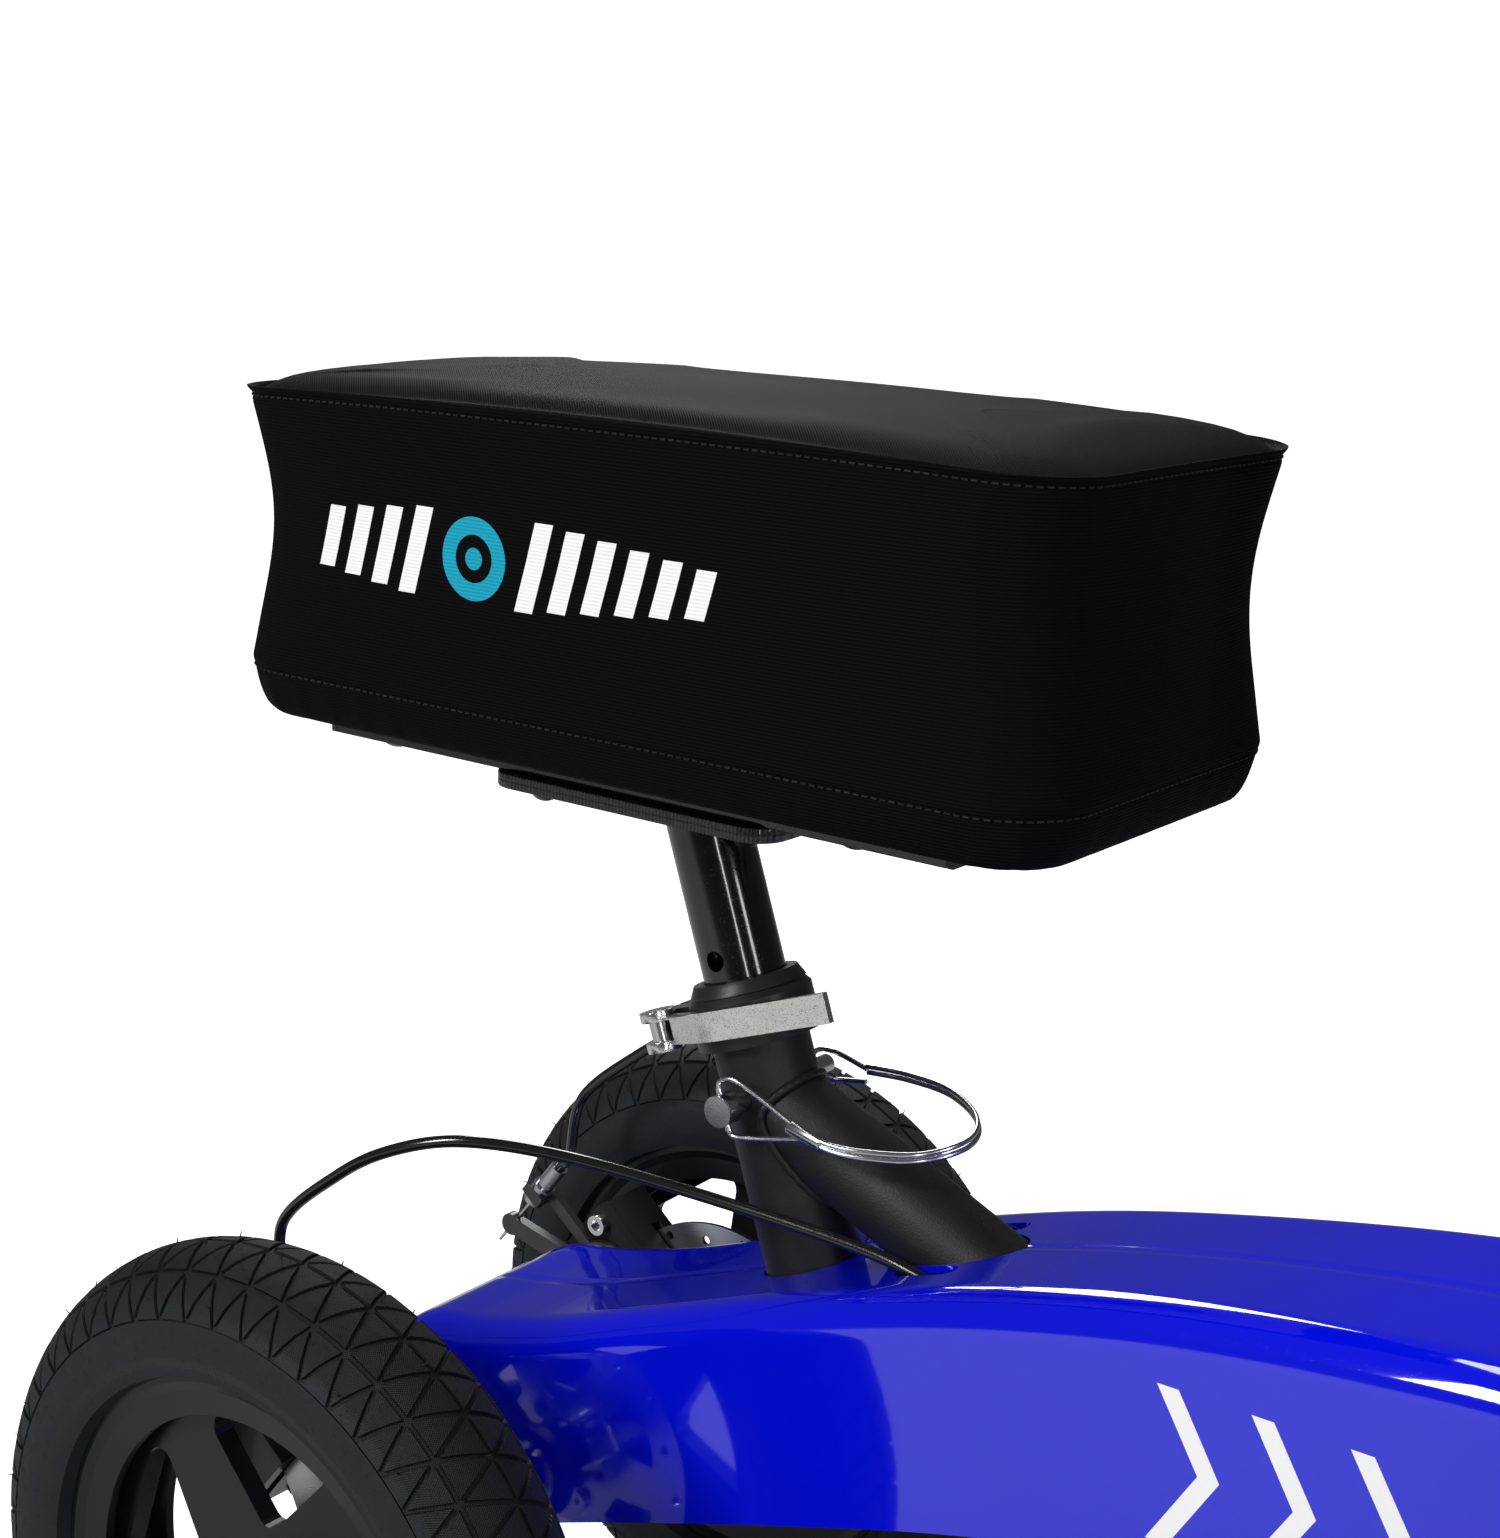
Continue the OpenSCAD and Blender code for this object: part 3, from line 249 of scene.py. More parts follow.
def turned_disc():
    """Stainless brake disc, ground in circles about its own axis."""
    p = Paint("disc_ground_steel", (0.62, 0.63, 0.64), 0.28, 1.0)
    x, _, z = p.where()
    r = (x - REAR_X) * (x - REAR_X) + (z - AXLE_Z) * (z - AXLE_Z)
    rings = p.noise(1, 3.0, vector=p.vector(r.sqrt() * 2600, 0.0, 0.0))
    p.rough(0.20 + rings * 0.18)
    p.colour(p.blend(rings, (0.50, 0.51, 0.52), (0.70, 0.71, 0.72)))
    p.bump(rings, 0.00002)
    return p.material


def tyre_rubber(name, axle_x):
    """Black tread with a fine moulded mesh on its blocks, a duller grey-blue wall, and painted shade in a
    narrow ring where the wall meets the rim's flange.
    """
    p = Paint(name, (0.005, 0.005, 0.005), 0.50, Specular_IOR_Level=0.28)
    x, y, z = p.where()
    dx, dz = x - axle_x, z - AXLE_Z
    r = (dx * dx + dz * dz).sqrt()
    off = abs(abs(y) - TRACK / 2)
    wall = off.fade(0.0272, 0.0300)
    low = r.fade(0.132, 0.126)
    side = wall.most(low)
    turn = dz.turn_of(dx)
    along, across = turn * 0.150, y
    mesh = ((along * 6100).sin() * (across * 6100).sin()) * (1 - side)
    worn = p.noise(46, 4.0)
    dirt = p.noise(340, 2.0)
    dark = p.blend(worn, (0.0022, 0.0022, 0.0023), (0.0058, 0.0056, 0.0054))
    grey = p.blend(worn, (0.0060, 0.0082, 0.0092), (0.0120, 0.0152, 0.0168))
    base = p.blend(side, dark, grey)
    # Painted shade: the wall is darker in a narrow ring where it goes under the rim's flange. The same ring
    # is also made a little glossier.
    bead = abs(r - 0.1135).fade(0.0030, 0.0010)
    p.colour(p.blend(bead * 0.8, base, (0.006, 0.006, 0.006)))
    p.rough(0.50 + worn * 0.14 + (dirt > 0.64) * 0.14 + side * 0.06 - bead * 0.2)
    p.bump(mesh * 0.5 + p.noise(1200, 2.0) * (0.25 + side * 0.5), 0.00022)
    return p.material


def knit(name):
    """Black stretch cover: horizontal ribs round the sides, a smooth face on top, and the print. The side
    cloth carries a painted highlight on its rib crests, and the top face has painted shade: it is darker
    than the sides to offset the overhead light.
    """
    dark = (0.0010, 0.0010, 0.0011)
    p = Paint(name, dark, 0.82, Specular_IOR_Level=0.06)
    x, y, z = p.where()
    normal = p.node("ShaderNodeNewGeometry").outputs["Normal"]
    up = Num(p, p.node("ShaderNodeSeparateXYZ", values={0: normal}).outputs[2])
    top = abs(up).fade(0.60, 0.80)
    ribs = (z * 2 * math.pi / 0.00135).sin() * 0.5 + 0.5
    loops = ((x + y) * 2 * math.pi / 0.0011 + (z * 2 * math.pi / 0.0027).sin() * 1.2).sin() * 0.5 + 0.5
    weave = ((x * 5200).sin() * (y * 5200).sin()) * 0.5 + 0.5
    fuzz = p.noise(2400, 2.0)
    yarn = ribs * (0.65 + loops * 0.35)
    height = (yarn * (1 - top) + weave * 0.3 * top) + fuzz * 0.25
    mark = cover_mark(x, y, z)
    ink = mark["white"] + mark["cyan"]
    # Painted highlight: the side cloth is lighter on the rib crests, with some random fuzz tone as well.
    lit = p.blend((yarn * 0.8 + fuzz * 0.5) * 0.8, dark, (0.0048, 0.0047, 0.0048))
    # Painted shade: the top face is darker than the side cloth, to offset the overhead light.
    smooth = p.blend(fuzz, (0.0007, 0.0007, 0.0007), (0.0026, 0.0025, 0.0022))
    cloth = p.blend(top, lit, smooth)
    # The print is lighter where the fuzz meets a rib crest. The crest part is a painted highlight.
    white = p.blend(fuzz * yarn, (0.86, 0.86, 0.86), (1.0, 1.0, 1.0))
    cyan = p.blend(fuzz * yarn, (0.01, 0.30, 0.44), (0.02, 0.48, 0.66))
    printed = p.blend(mark["cyan"], p.blend(mark["white"], cloth, white), cyan)
    p.colour(printed)
    p.rough(0.84 - ink.least(1.0) * 0.28 - top * 0.10)
    p.bump(height * (1 - ink.least(1.0) * 0.55), 0.00040)
    return p.material


def cover_mark(x, y, z):
    """A made-up mark on both long sides: slanted bars to each side of a cyan ring."""
    middle_x, middle_z = PAD_MARK
    rise = z - middle_z
    lean = x - middle_x - rise * 0.28
    side = abs(y) > 0.070
    bars = None
    for start, wide, high in PAD_BARS:
        bar = (abs(lean - start) < wide / 2) * (abs(rise) < high / 2)
        bars = bar if bars is None else bars.most(bar)
    around = ((x - middle_x) * (x - middle_x) + rise * rise).sqrt()
    ring = abs(around - 0.0125) < 0.0034
    dot = around < 0.0042
    return {"white": bars * side, "cyan": ring.most(dot) * side}


PAD_MARK = (-0.246, 0.574)
PAD_BARS = [(0.030 + 0.0155 * i, 0.0088, 0.034 - 0.0032 * i) for i in range(6)]
PAD_BARS += [(-0.030 - 0.0155 * i, 0.0088, 0.034 - 0.0032 * i) for i in range(4)]


def cable_skin():
    p = Paint("cable_housing", (0.008, 0.008, 0.008), 0.16, Coat_Weight=0.5, Coat_Roughness=0.08)
    p.rough(0.13 + p.noise(300, 3.0) * 0.10)
    p.bump(p.noise(1600, 2.0), 0.00003)
    return p.material


def plywood():
    p = Paint("plywood", (0.42, 0.30, 0.17), 0.6)
    x, y, z = p.where()
    grain = p.noise(1, 4.0, vector=p.vector(x * 12, y * 180, z * 700))
    p.colour(p.blend(grain, (0.30, 0.20, 0.10), (0.52, 0.38, 0.23)))
    p.bump(grain, 0.0002)
    return p.material


def paint_node(names, material):
    for name in names:
        node = NODES[name]
        node.data.materials.clear()
        node.data.materials.append(material)


# ---------- Modelling helpers ----------

def deselect():
    if bpy.context.object and bpy.context.object.mode != "OBJECT":
        bpy.ops.object.mode_set(mode="OBJECT")
    bpy.ops.object.select_all(action="DESELECT")


def finish_piece(obj, name, body, material, stands_for=(), angle=35):
    """Names a piece, applies its place, paints it and lets it ride on its body, if it has one."""
    deselect()
    obj.select_set(True)
    bpy.context.view_layer.objects.active = obj
    bpy.ops.object.transform_apply(location=True, rotation=True, scale=True)
    bpy.ops.object.shade_smooth_by_angle(angle=math.radians(angle))
    obj.name = obj.data.name = name
    obj.data.materials.clear()
    obj.data.materials.append(material)
    if body:
        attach(obj, body)
    if stands_for:
        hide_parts(*stands_for)
    return obj


def grid_piece(across, along, place, wrap_across=False):
    """A grid whose points are moved by place(u, v), with u and v from 0 to 1."""
    deselect()
    bpy.ops.mesh.primitive_grid_add(x_subdivisions=across, y_subdivisions=along, size=2)
    obj = bpy.context.object
    for vertex in obj.data.vertices:
        u, v = (vertex.co.x + 1) / 2, (vertex.co.y + 1) / 2
        vertex.co = place(0.0 if wrap_across and u > 0.99999 else u, v)
    close_up(obj)
    return obj


def close_up(obj, reach=1e-6):
    """Merges doubled points and turns every face outward."""
    deselect()
    obj.select_set(True)
    bpy.context.view_layer.objects.active = obj
    bpy.ops.object.mode_set(mode="EDIT")
    bpy.ops.mesh.select_all(action="SELECT")
    bpy.ops.mesh.remove_doubles(threshold=reach)
    bpy.ops.mesh.dissolve_degenerate(threshold=1e-7)
    bpy.ops.mesh.select_all(action="SELECT")
    bpy.ops.mesh.normals_make_consistent(inside=False)
    bpy.ops.object.mode_set(mode="OBJECT")


def apply_modifier(obj, kind, **settings):
    deselect()
    obj.select_set(True)
    bpy.context.view_layer.objects.active = obj
    made = obj.modifiers.new(kind.title(), kind)
    for key, value in settings.items():
        setattr(made, key, value)
    bpy.ops.object.modifier_apply(modifier=made.name)


def joined(objs):
    deselect()
    for obj in objs:
        obj.select_set(True)
    bpy.context.view_layer.objects.active = objs[0]
    if len(objs) > 1:
        bpy.ops.object.join()
    return bpy.context.object


def bar_between(a, b, radius, sides=32, bevel=0.0):
    """A round bar from point a to point b."""
    a, b = Vector(a), Vector(b)
    deselect()
    bpy.ops.mesh.primitive_cylinder_add(vertices=sides, radius=radius, depth=(b - a).length,
                                        location=(a + b) / 2)
    obj = bpy.context.object
    obj.rotation_mode = "QUATERNION"
    obj.rotation_quaternion = (b - a).to_track_quat("Z", "Y")
    if bevel:
        apply_modifier(obj, "BEVEL", width=bevel, segments=2, limit_method="ANGLE")
    return obj


def curve_through(points, steps):
    """Points along the smooth curve that passes through the given ones."""
    points = [Vector(p) for p in points]
    out = []
    for i in range(len(points) - 1):
        p0, p1 = points[max(i - 1, 0)], points[i]
        p2, p3 = points[i + 1], points[min(i + 2, len(points) - 1)]
        for k in range(steps):
            t = k / steps
            out.append(0.5 * (2 * p1 + (p2 - p0) * t + (2 * p0 - 5 * p1 + 4 * p2 - p3) * t * t
                              + (3 * p1 - p0 - 3 * p2 + p3) * t ** 3))
    out.append(points[-1])
    return out


def tube_along(path, radius, sides=16):
    """A round tube swept along a list of points, with rounded-over ends."""
    path = [Vector(p) for p in path]
    ahead = [(path[min(i + 1, len(path) - 1)] - path[max(i - 1, 0)]).normalized()
             for i in range(len(path))]
    sideways = ahead[0].orthogonal().normalized()
    frames = []
    for i, direction in enumerate(ahead):
        sideways = (sideways - direction * sideways.dot(direction)).normalized()
        frames.append((sideways, direction.cross(sideways)))
    rows = [(0, 0.0), *((i, 1.0) for i in range(len(path))), (len(path) - 1, 0.0)]

    def place(u, v):
        index, size = rows[round(v * (len(rows) - 1))]
        turn = 2 * math.pi * u
        out, up = frames[index]
        return path[index] + radius * size * (out * math.cos(turn) + up * math.sin(turn))

    return grid_piece(sides, len(rows) - 1, place, wrap_across=True)


# ---------- Places shared with the frame ----------

TRACK = 2 * abs((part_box("tyre_rear_left")[0].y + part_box("tyre_rear_left")[1].y) / 2)
SEAT_LEAN = math.radians(19.6)
SEAT_FOOT = Vector((REAR_X + 0.136, 0, 0.300))
SEAT_UP = Vector((-math.sin(SEAT_LEAN), 0, math.cos(SEAT_LEAN)))
SEAT_AHEAD = Vector((math.cos(SEAT_LEAN), 0, math.sin(SEAT_LEAN)))
COLUMN_LEAN = math.radians(12)
COLUMN_FOOT = Vector((FRONT_X - 0.015, 0, 0.215))
COLUMN_UP = Vector((-math.sin(COLUMN_LEAN), 0, math.cos(COLUMN_LEAN)))
COLUMN_BACK = Vector((-math.cos(COLUMN_LEAN), 0, -math.sin(COLUMN_LEAN)))


def on_seat_tube(ahead, out, up):
    """A place in millimetres ahead of the seat tube's axis, to its left, and along it."""
    return SEAT_FOOT + SEAT_AHEAD * ahead * MM + Vector((0, out * MM, 0)) + SEAT_UP * up * MM


def on_column(back, out, up):
    return COLUMN_FOOT + COLUMN_BACK * back * MM + Vector((0, out * MM, 0)) + COLUMN_UP * up * MM


# ---------- Body ----------

# Top and lower edge of the body from the side: millimetres ahead of the rear axle, height
# The strut's axis, from inside the seat tube down to the spine
STRUT_TOP = Vector((REAR_X + 0.120, 0, 0.3536))
STRUT_FOOT = Vector((REAR_X + 0.300, 0, 0.276))
BODY_TOP = [(-51, 196), (-46, 219), (-30, 233), (0, 240), (40, 252), (90, 272), (160, 300),
            (235, 326), (306, 344.5), (381, 358.5), (450, 366), (505, 363), (552, 341),
            (583, 303), (594, 258)]
BODY_LOW = [(-51, 150), (-46, 141), (-30, 141), (0, 148), (40, 163), (90, 182), (160, 207),
            (235, 232), (306, 251), (381, 268), (450, 275), (505, 268), (552, 256),
            (583, 250), (594, 247)]
BODY_HALF = 0.058
EDGE_R = 15.0


def half_width(x):
    """Half the body's width, in millimetres."""
    wide = BODY_HALF / MM
    if x > 290:
        wide += 7 * math.sin(math.radians(min(x - 290, 160) * 90 / 160)) ** 2
    if x > 470:
        wide -= 24 * (1 - math.cos(math.radians(min(x - 470, 130) * 90 / 130)))
    if x < -30:
        wide -= 3.5 * ((-30 - x) / 21) ** 2
    return wide


def section_point(wide, high, low, u):
    """A place round one upright section: up the right wall, over the top, down the left wall."""
    r = min(EDGE_R, wide - 1, (high - low) / 2 - 1)
    wall, flat = high - r - low, 2 * (wide - r)
    arc = math.pi / 2 * r
    s = u * (2 * wall + 2 * arc + flat)
    if s < wall:
        return -wide, low + s
    s -= wall
    if s < arc:
        turn = s / r
        return -wide + r - r * math.cos(turn), high - r + r * math.sin(turn)
    s -= arc
    if s < flat:
        return -wide + r + s, high
    s -= flat
    if s < arc:
        turn = s / r
        return wide - r + r * math.sin(turn), high - r + r * math.cos(turn)
    return wide, high - r - (s - arc)


def body_piece():
    top = curve_through([(x, 0, z) for x, z in BODY_TOP], 8)
    low = curve_through([(x, 0, z) for x, z in BODY_LOW], 8)
    rows = len(top)

    def place(u, v):
        i = round(v * (rows - 1))
        x = top[i].x
        wide = half_width(x)
        if i in (0, rows - 1):
            wide -= 4
        y, z = section_point(wide, top[i].z, low[i].z, u)
        groove = 0.55 * max(0.0, 1 - abs(y) / 1.2) if i > 4 and z > top[i].z - 1 else 0
        return Vector((REAR_X + x * MM, y * MM, (z - groove) * MM))

    obj = grid_piece(112, rows - 1, place)
    # Close the two ends
    bpy.ops.object.mode_set(mode="EDIT")
    bpy.ops.mesh.select_all(action="DESELECT")
    bpy.ops.object.mode_set(mode="OBJECT")
    for end in (top[0].x, top[-1].x):
        for v in obj.data.vertices:
            v.select = abs(v.co.x - (REAR_X + end * MM)) < 1e-5
        bpy.ops.object.mode_set(mode="EDIT")
        bpy.ops.mesh.select_mode(type="VERT")
        bpy.ops.mesh.edge_face_add()
        bpy.ops.mesh.select_all(action="DESELECT")
        bpy.ops.object.mode_set(mode="OBJECT")
    apply_modifier(obj, "SOLIDIFY", thickness=0.0028, offset=-1.0)
    # Openings round the seat tube, its strut, the head tube and the rear cross tube
    holes = [
        bar_between(on_seat_tube(0, 0, -60), on_seat_tube(0, 0, 60), 0.0210, 64),
        bar_between(STRUT_TOP, STRUT_FOOT, 0.0202, 64),
        bar_between(on_column(0, 0, 90), on_column(0, 0, 175), 0.0245, 64),
        bar_between((REAR_X, -0.2, AXLE_Z), (REAR_X, 0.2, AXLE_Z), 0.0165, 48),
    ]
    for side in (-1, 1):
        holes.append(cable_slot(side))
        holes.append(bar_between((REAR_X + 0.469, side * 0.033, 0.34), (REAR_X + 0.469, side * 0.033, 0.42),
                                 0.0075, 32))
    for hole in holes:
        cut(obj, hole)
    return finish_piece(obj, "body_moulding", "chassis", body_gloss(), ["body_shell"], 32)


def cable_slot(side):
    """A round-ended slot beside the strut, where a brake cable goes under the body."""
    deselect()
    bpy.ops.mesh.primitive_cube_add(size=1, location=(REAR_X + 0.208, side * 0.0265, 0.315))
    obj = bpy.context.object
    obj.scale = (0.026, 0.0105, 0.06)
    bpy.ops.object.transform_apply(location=False, rotation=False, scale=True)
    apply_modifier(obj, "BEVEL", width=0.0048, segments=4, affect="EDGES")
    return obj


def cut(obj, tool):
    deselect()
    obj.select_set(True)
    bpy.context.view_layer.objects.active = obj
    made = obj.modifiers.new("Hole", "BOOLEAN")
    made.operation, made.object, made.solver = "DIFFERENCE", tool, "EXACT"
    bpy.ops.object.modifier_apply(modifier=made.name)
    bpy.data.objects.remove(tool)


# ---------- Tyres ----------

TYRE_R, SECTION_R = 0.153, 0.0318
SECTION_MIDDLE = TYRE_R - SECTION_R
TREAD_PITCHES = 52
TREAD_REACH = math.radians(74)
GROOVE = 0.0013


def section_place(angle, turn, lift):
    """A place on the tyre: angle round its section from the crown, turn round its axle."""
    r = SECTION_MIDDLE + (SECTION_R + lift) * math.cos(angle)
    return Vector((r * math.cos(turn), (SECTION_R + lift) * math.sin(angle), r * math.sin(turn)))


def tread_piece():
    """Raised three-sided blocks between grooves, all round the crown, centred on the axle."""
    deselect()
    bpy.ops.mesh.primitive_grid_add(x_subdivisions=TREAD_PITCHES, y_subdivisions=4, size=2)
    obj = bpy.context.object
    columns = 2 / TREAD_PITCHES
    for v in obj.data.vertices:
        if round((v.co.y + 1) / 0.5) % 2:
            v.co.x += columns / 2
    bpy.ops.object.mode_set(mode="EDIT")
    bpy.ops.mesh.select_all(action="SELECT")
    bpy.ops.mesh.quads_convert_to_tris(quad_method="SHORTEST_DIAGONAL")
    # Work at the size of the unrolled tread
    bpy.ops.object.mode_set(mode="OBJECT")
    length, wide = 2 * math.pi * TYRE_R, 2 * TREAD_REACH * SECTION_R
    for v in obj.data.vertices:
        v.co = Vector(((v.co.x + 1) / 2 * length, v.co.y / 2 * wide, 0))
    bpy.ops.object.mode_set(mode="EDIT")
    bpy.ops.mesh.select_all(action="SELECT")
    bpy.ops.mesh.inset(thickness=0.00085, use_individual=True, use_boundary=True)
    bpy.ops.mesh.inset(thickness=0.0003, depth=GROOVE, use_individual=True)
    bpy.ops.mesh.select_all(action="SELECT")
    bpy.ops.mesh.subdivide(number_cuts=2)
    bpy.ops.object.mode_set(mode="OBJECT")
    for v in obj.data.vertices:
        turn = v.co.x / TYRE_R
        angle = v.co.y / SECTION_R
        v.co = section_place(angle, turn, abs(v.co.z) - GROOVE)
    close_up(obj, 2e-5)
    return obj


def wall_piece():
    """The tyre's two side walls and beads, with short sipes below the tread."""
    walls = []
    rows = 30
    low_angle = math.radians(117)

    for side in (-1, 1):
        def place(u, v, side=side):
            turn = 2 * math.pi * u
            if v < 0.8:
                angle = TREAD_REACH - 0.01 + (low_angle - TREAD_REACH) * v / 0.8
                pitch = turn * TREAD_PITCHES / (2 * math.pi)
                sipe = max(0.0, 1 - abs((pitch % 1) - 0.5) / 0.075) * max(0.0, 1 - abs(v - 0.10) / 0.16)
                lift = -0.0006 * sipe - GROOVE * 0.25
                p = section_place(angle, turn, lift)
            else:
                # In to the bead, inside the rim's flange
                t = (v - 0.8) / 0.2
                start = section_place(low_angle, 0, -GROOVE * 0.25)
                r = start.x + (0.1045 - start.x) * t
                p = Vector((r * math.cos(turn), start.y * (1 - t) + 0.0178 * t, r * math.sin(turn)))
            return Vector((p.x, p.y * side, p.z))
        walls.append(grid_piece(TREAD_PITCHES * 8, rows, place, wrap_across=True))
    return walls


def hairs():
    """Moulding whiskers left standing on the tread."""
    made = []
    for k in range(104):
        turn = 2 * math.pi * ((k * 0.6180339) % 1)
        angle = math.radians((-62, -31, -8, 12, 34, 60)[k % 6] + (k * 7) % 5)
        foot = section_place(angle, turn, -0.0003)
        height = 0.0016 + 0.0014 * (k * 5 % 7) / 7
        tip = section_place(angle + 0.03, turn + 0.006 * math.sin(k * 2.1), height)
        deselect()
        bpy.ops.mesh.primitive_cone_add(vertices=4, radius1=0.00038, radius2=0.00016,
                                        depth=(tip - foot).length, location=(tip + foot) / 2)
        obj = bpy.context.object
        obj.rotation_mode = "QUATERNION"
        obj.rotation_quaternion = (tip - foot).to_track_quat("Z", "Y")
        bpy.ops.object.transform_apply(location=True, rotation=True, scale=True)
        made.append(obj)
    return made


def tyre_pieces():
    model = joined([tread_piece(), *wall_piece(), *hairs()])
    places = [("rear_left", REAR_X, 1), ("rear_right", REAR_X, -1),
              ("front_left", FRONT_X, 1), ("front_right", FRONT_X, -1)]
    rubber = {REAR_X: tyre_rubber("tyre_rubber_rear", REAR_X),
              FRONT_X: tyre_rubber("tyre_rubber_front", FRONT_X)}
    for i, (where, x, side) in enumerate(places):
        obj = model.copy()
        obj.data = model.data.copy()
        bpy.context.collection.objects.link(obj)
        obj.rotation_euler = (0, 0.031 + 0.4 * i, 0)
        obj.location = (x, side * TRACK / 2, AXLE_Z)
        finish_piece(obj, "tyre_" + where + "_tread", "wheel_" + where, rubber[x],
                     ["tyre_" + where], 30)
    bpy.data.objects.remove(model)


# ---------- Cables ----------

# Cable routes for the left side, in millimetres: (ahead of the rear axle, outward, height),
# then (behind the column's axis, outward, along it)
REAR_RUN = [(-66, 97, 281), (-34, 98, 310), (-6, 96, 328), (24, 86, 337.5), (60, 66, 335),
            (112, 45, 327), (176, 30.5, 319.5), (206, 27, 314), (246, 26, 304), (310, 27, 310),
            (380, 30, 324), (440, 33, 338)]
COLUMN_RUN = [(41, 33, 168), (44, 27, 205), (40, 14, 250), (31, 8, 320), (31, 7, 400),
              (32, 7, 470), (36, 10, 560), (42, 20, 640), (32, 48, 695), (8, 74, 721),
              (-11, 96, 742), (-10, 93, 755), (-8.6, 112, 762)]
CABLE_R = 0.0025
CALIPER_TURN, CALIPER_REACH, DISC_Y = math.radians(142), 71, 127
# Where the cable ends on the caliper, out from its middle and in from the disc, and its bare wire
CABLE_AT = (45, 33.2)
WIRE_FOOT, WIRE_L, WIRE_R = -20.4, 58.4, 0.0008


def at_caliper(out, inward, along, side):
    """A place in millimetres in a caliper's own directions."""
    c, s = math.cos(CALIPER_TURN), math.sin(CALIPER_TURN)
    return Vector((REAR_X + ((CALIPER_REACH + out) * c - along * s) * MM, side * (DISC_Y - inward) * MM,
                   AXLE_Z + ((CALIPER_REACH + out) * s + along * c) * MM))


def cable_pieces(skin):
    for side, where in ((1, "left"), (-1, "right")):
        rear = [at_caliper(*CABLE_AT, z, side) for z in (-20, -26, -34)]
        rear += [Vector((REAR_X + x * MM, side * y * MM, z * MM)) for x, y, z in REAR_RUN]
        front = [on_column(b, side * y, s) for b, y, s in COLUMN_RUN]
        path = curve_through(rear + front, 10)
        # Where the cable leaves the body, passes the fold, and reaches the telescoping part
        marks = [0, 10 * (len(rear) - 2), 10 * (len(rear) + 1), 10 * (len(rear) + 5), len(path) - 1]
        rides = ["chassis", ("chassis", "steering"), ("steering", "stem"), ("stem", "bar")]
        for k, body in enumerate(rides):
            part = path[marks[k]:marks[k + 1] + 1]
            obj = tube_along(part, CABLE_R, 20)
            rigid = isinstance(body, str)
            stands = ["brake_cable_" + where] if k == 0 else []
            finish_piece(obj, f"cable_{where}_{k + 1}", body if rigid else None, skin,
                         stands, 50)
            if not rigid:
                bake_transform(obj)
        run = [at_caliper(*CABLE_AT, WIRE_FOOT + WIRE_L * k / 16, side) for k in range(17)]
        wire = tube_along(run, WIRE_R, 12)
        finish_piece(wire, "inner_wire_" + where, None, plated_steel("wire_steel_" + where))
        # The wire's upper end is clamped in the caliper's arm. The wire is not attached to the arm, and the
        # two places below are computed and not used.
        tuple(at_caliper(45, 33.2, -18, side))
        tuple(at_caliper(45, 33.2, 12, side))
        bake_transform(wire)


# ---------- Retaining ring, welds ----------

NEAR_LOW = [(34, -30, -15.8), (18, -31, -14), (8, -32, -12.6), (1.5, -32.5, -11), (0, -32.5, -7.6)]
NEAR_HIGH = [(0, -32.5, 7.6), (1.5, -32.5, 11), (8, -32, 11), (18, -30.6, 2), (30, -29.5, -10)]
FRONT_LOOP = [(44, -31, -19), (60, -27, -25), (78, -17, -30), (88, 0, -30), (82, 17, -25),
              (64, 29, -16), (42, 34, -9)]
FAR_EYE = [(22, 35, -4), (8, 34.5, 5), (-1, 34.5, 6.4), (-6.3, 34.5, 1), (-3.5, 34.5, -5.5),
           (4, 34.5, -6.4), (20, 35, -9)]
PIN_UP = 63
RING_R = 0.0011


def ring_piece(steel):
    """Sprung wire: an eye at each end of the pin, two strands between, and a crimp."""
    def along(points, lift):
        return curve_through([on_seat_tube(a, o, PIN_UP + u + lift) for a, o, u in points], 10)
    parts = [tube_along(along(ends, 0), RING_R, 14) for ends in (NEAR_LOW, NEAR_HIGH, FAR_EYE)]
    parts.append(bar_between(on_seat_tube(0, -32.5, PIN_UP - 8.6), on_seat_tube(0, -32.5, PIN_UP + 8.6),
                             0.0013, 24))
    for lift in (-1.25, 1.25):
        ends = [NEAR_HIGH[-1], *FRONT_LOOP, FAR_EYE[0]]
        parts.append(tube_along(along(ends, lift), RING_R, 14))
    crimp = bar_between(on_seat_tube(27, -29.5, PIN_UP - 10.5), on_seat_tube(42, -30.8, PIN_UP - 18.4),
                        0.0029, 28, 0.0006)
    crimp.scale.x *= 0.72
    parts.append(crimp)
    obj = joined(parts)
    finish_piece(obj, "retaining_ring", "ring", steel, ["pin_ring"], 50)


def weld_piece(coat):
    """Rippled bead where the slanting strut meets the seat tube."""
    start = STRUT_TOP
    lead = (STRUT_FOOT - STRUT_TOP).normalized()
    side = Vector((0, 1, 0))
    up = lead.cross(side)
    path = []
    for k in range(144):
        turn = 2 * math.pi * k / 144
        rim = (side * math.cos(turn) + up * math.sin(turn)) * 0.0192
        reach = 0.05
        for _ in range(40):
            p = start + lead * reach + rim
            from_axis = (p - SEAT_FOOT) - SEAT_UP * (p - SEAT_FOOT).dot(SEAT_UP)
            reach += (0.0202 - from_axis.length) * 0.7
        ripple = 0.00016 * math.sin(turn * 36)
        path.append(p + rim.normalized() * (0.0004 + ripple) + from_axis.normalized() * 0.0003)
    path.append(path[0].copy())
    obj = tube_along(path, 0.0017, 12)
    return finish_piece(obj, "strut_weld", "chassis", coat, (), 60)


# ---------- Cushion ----------

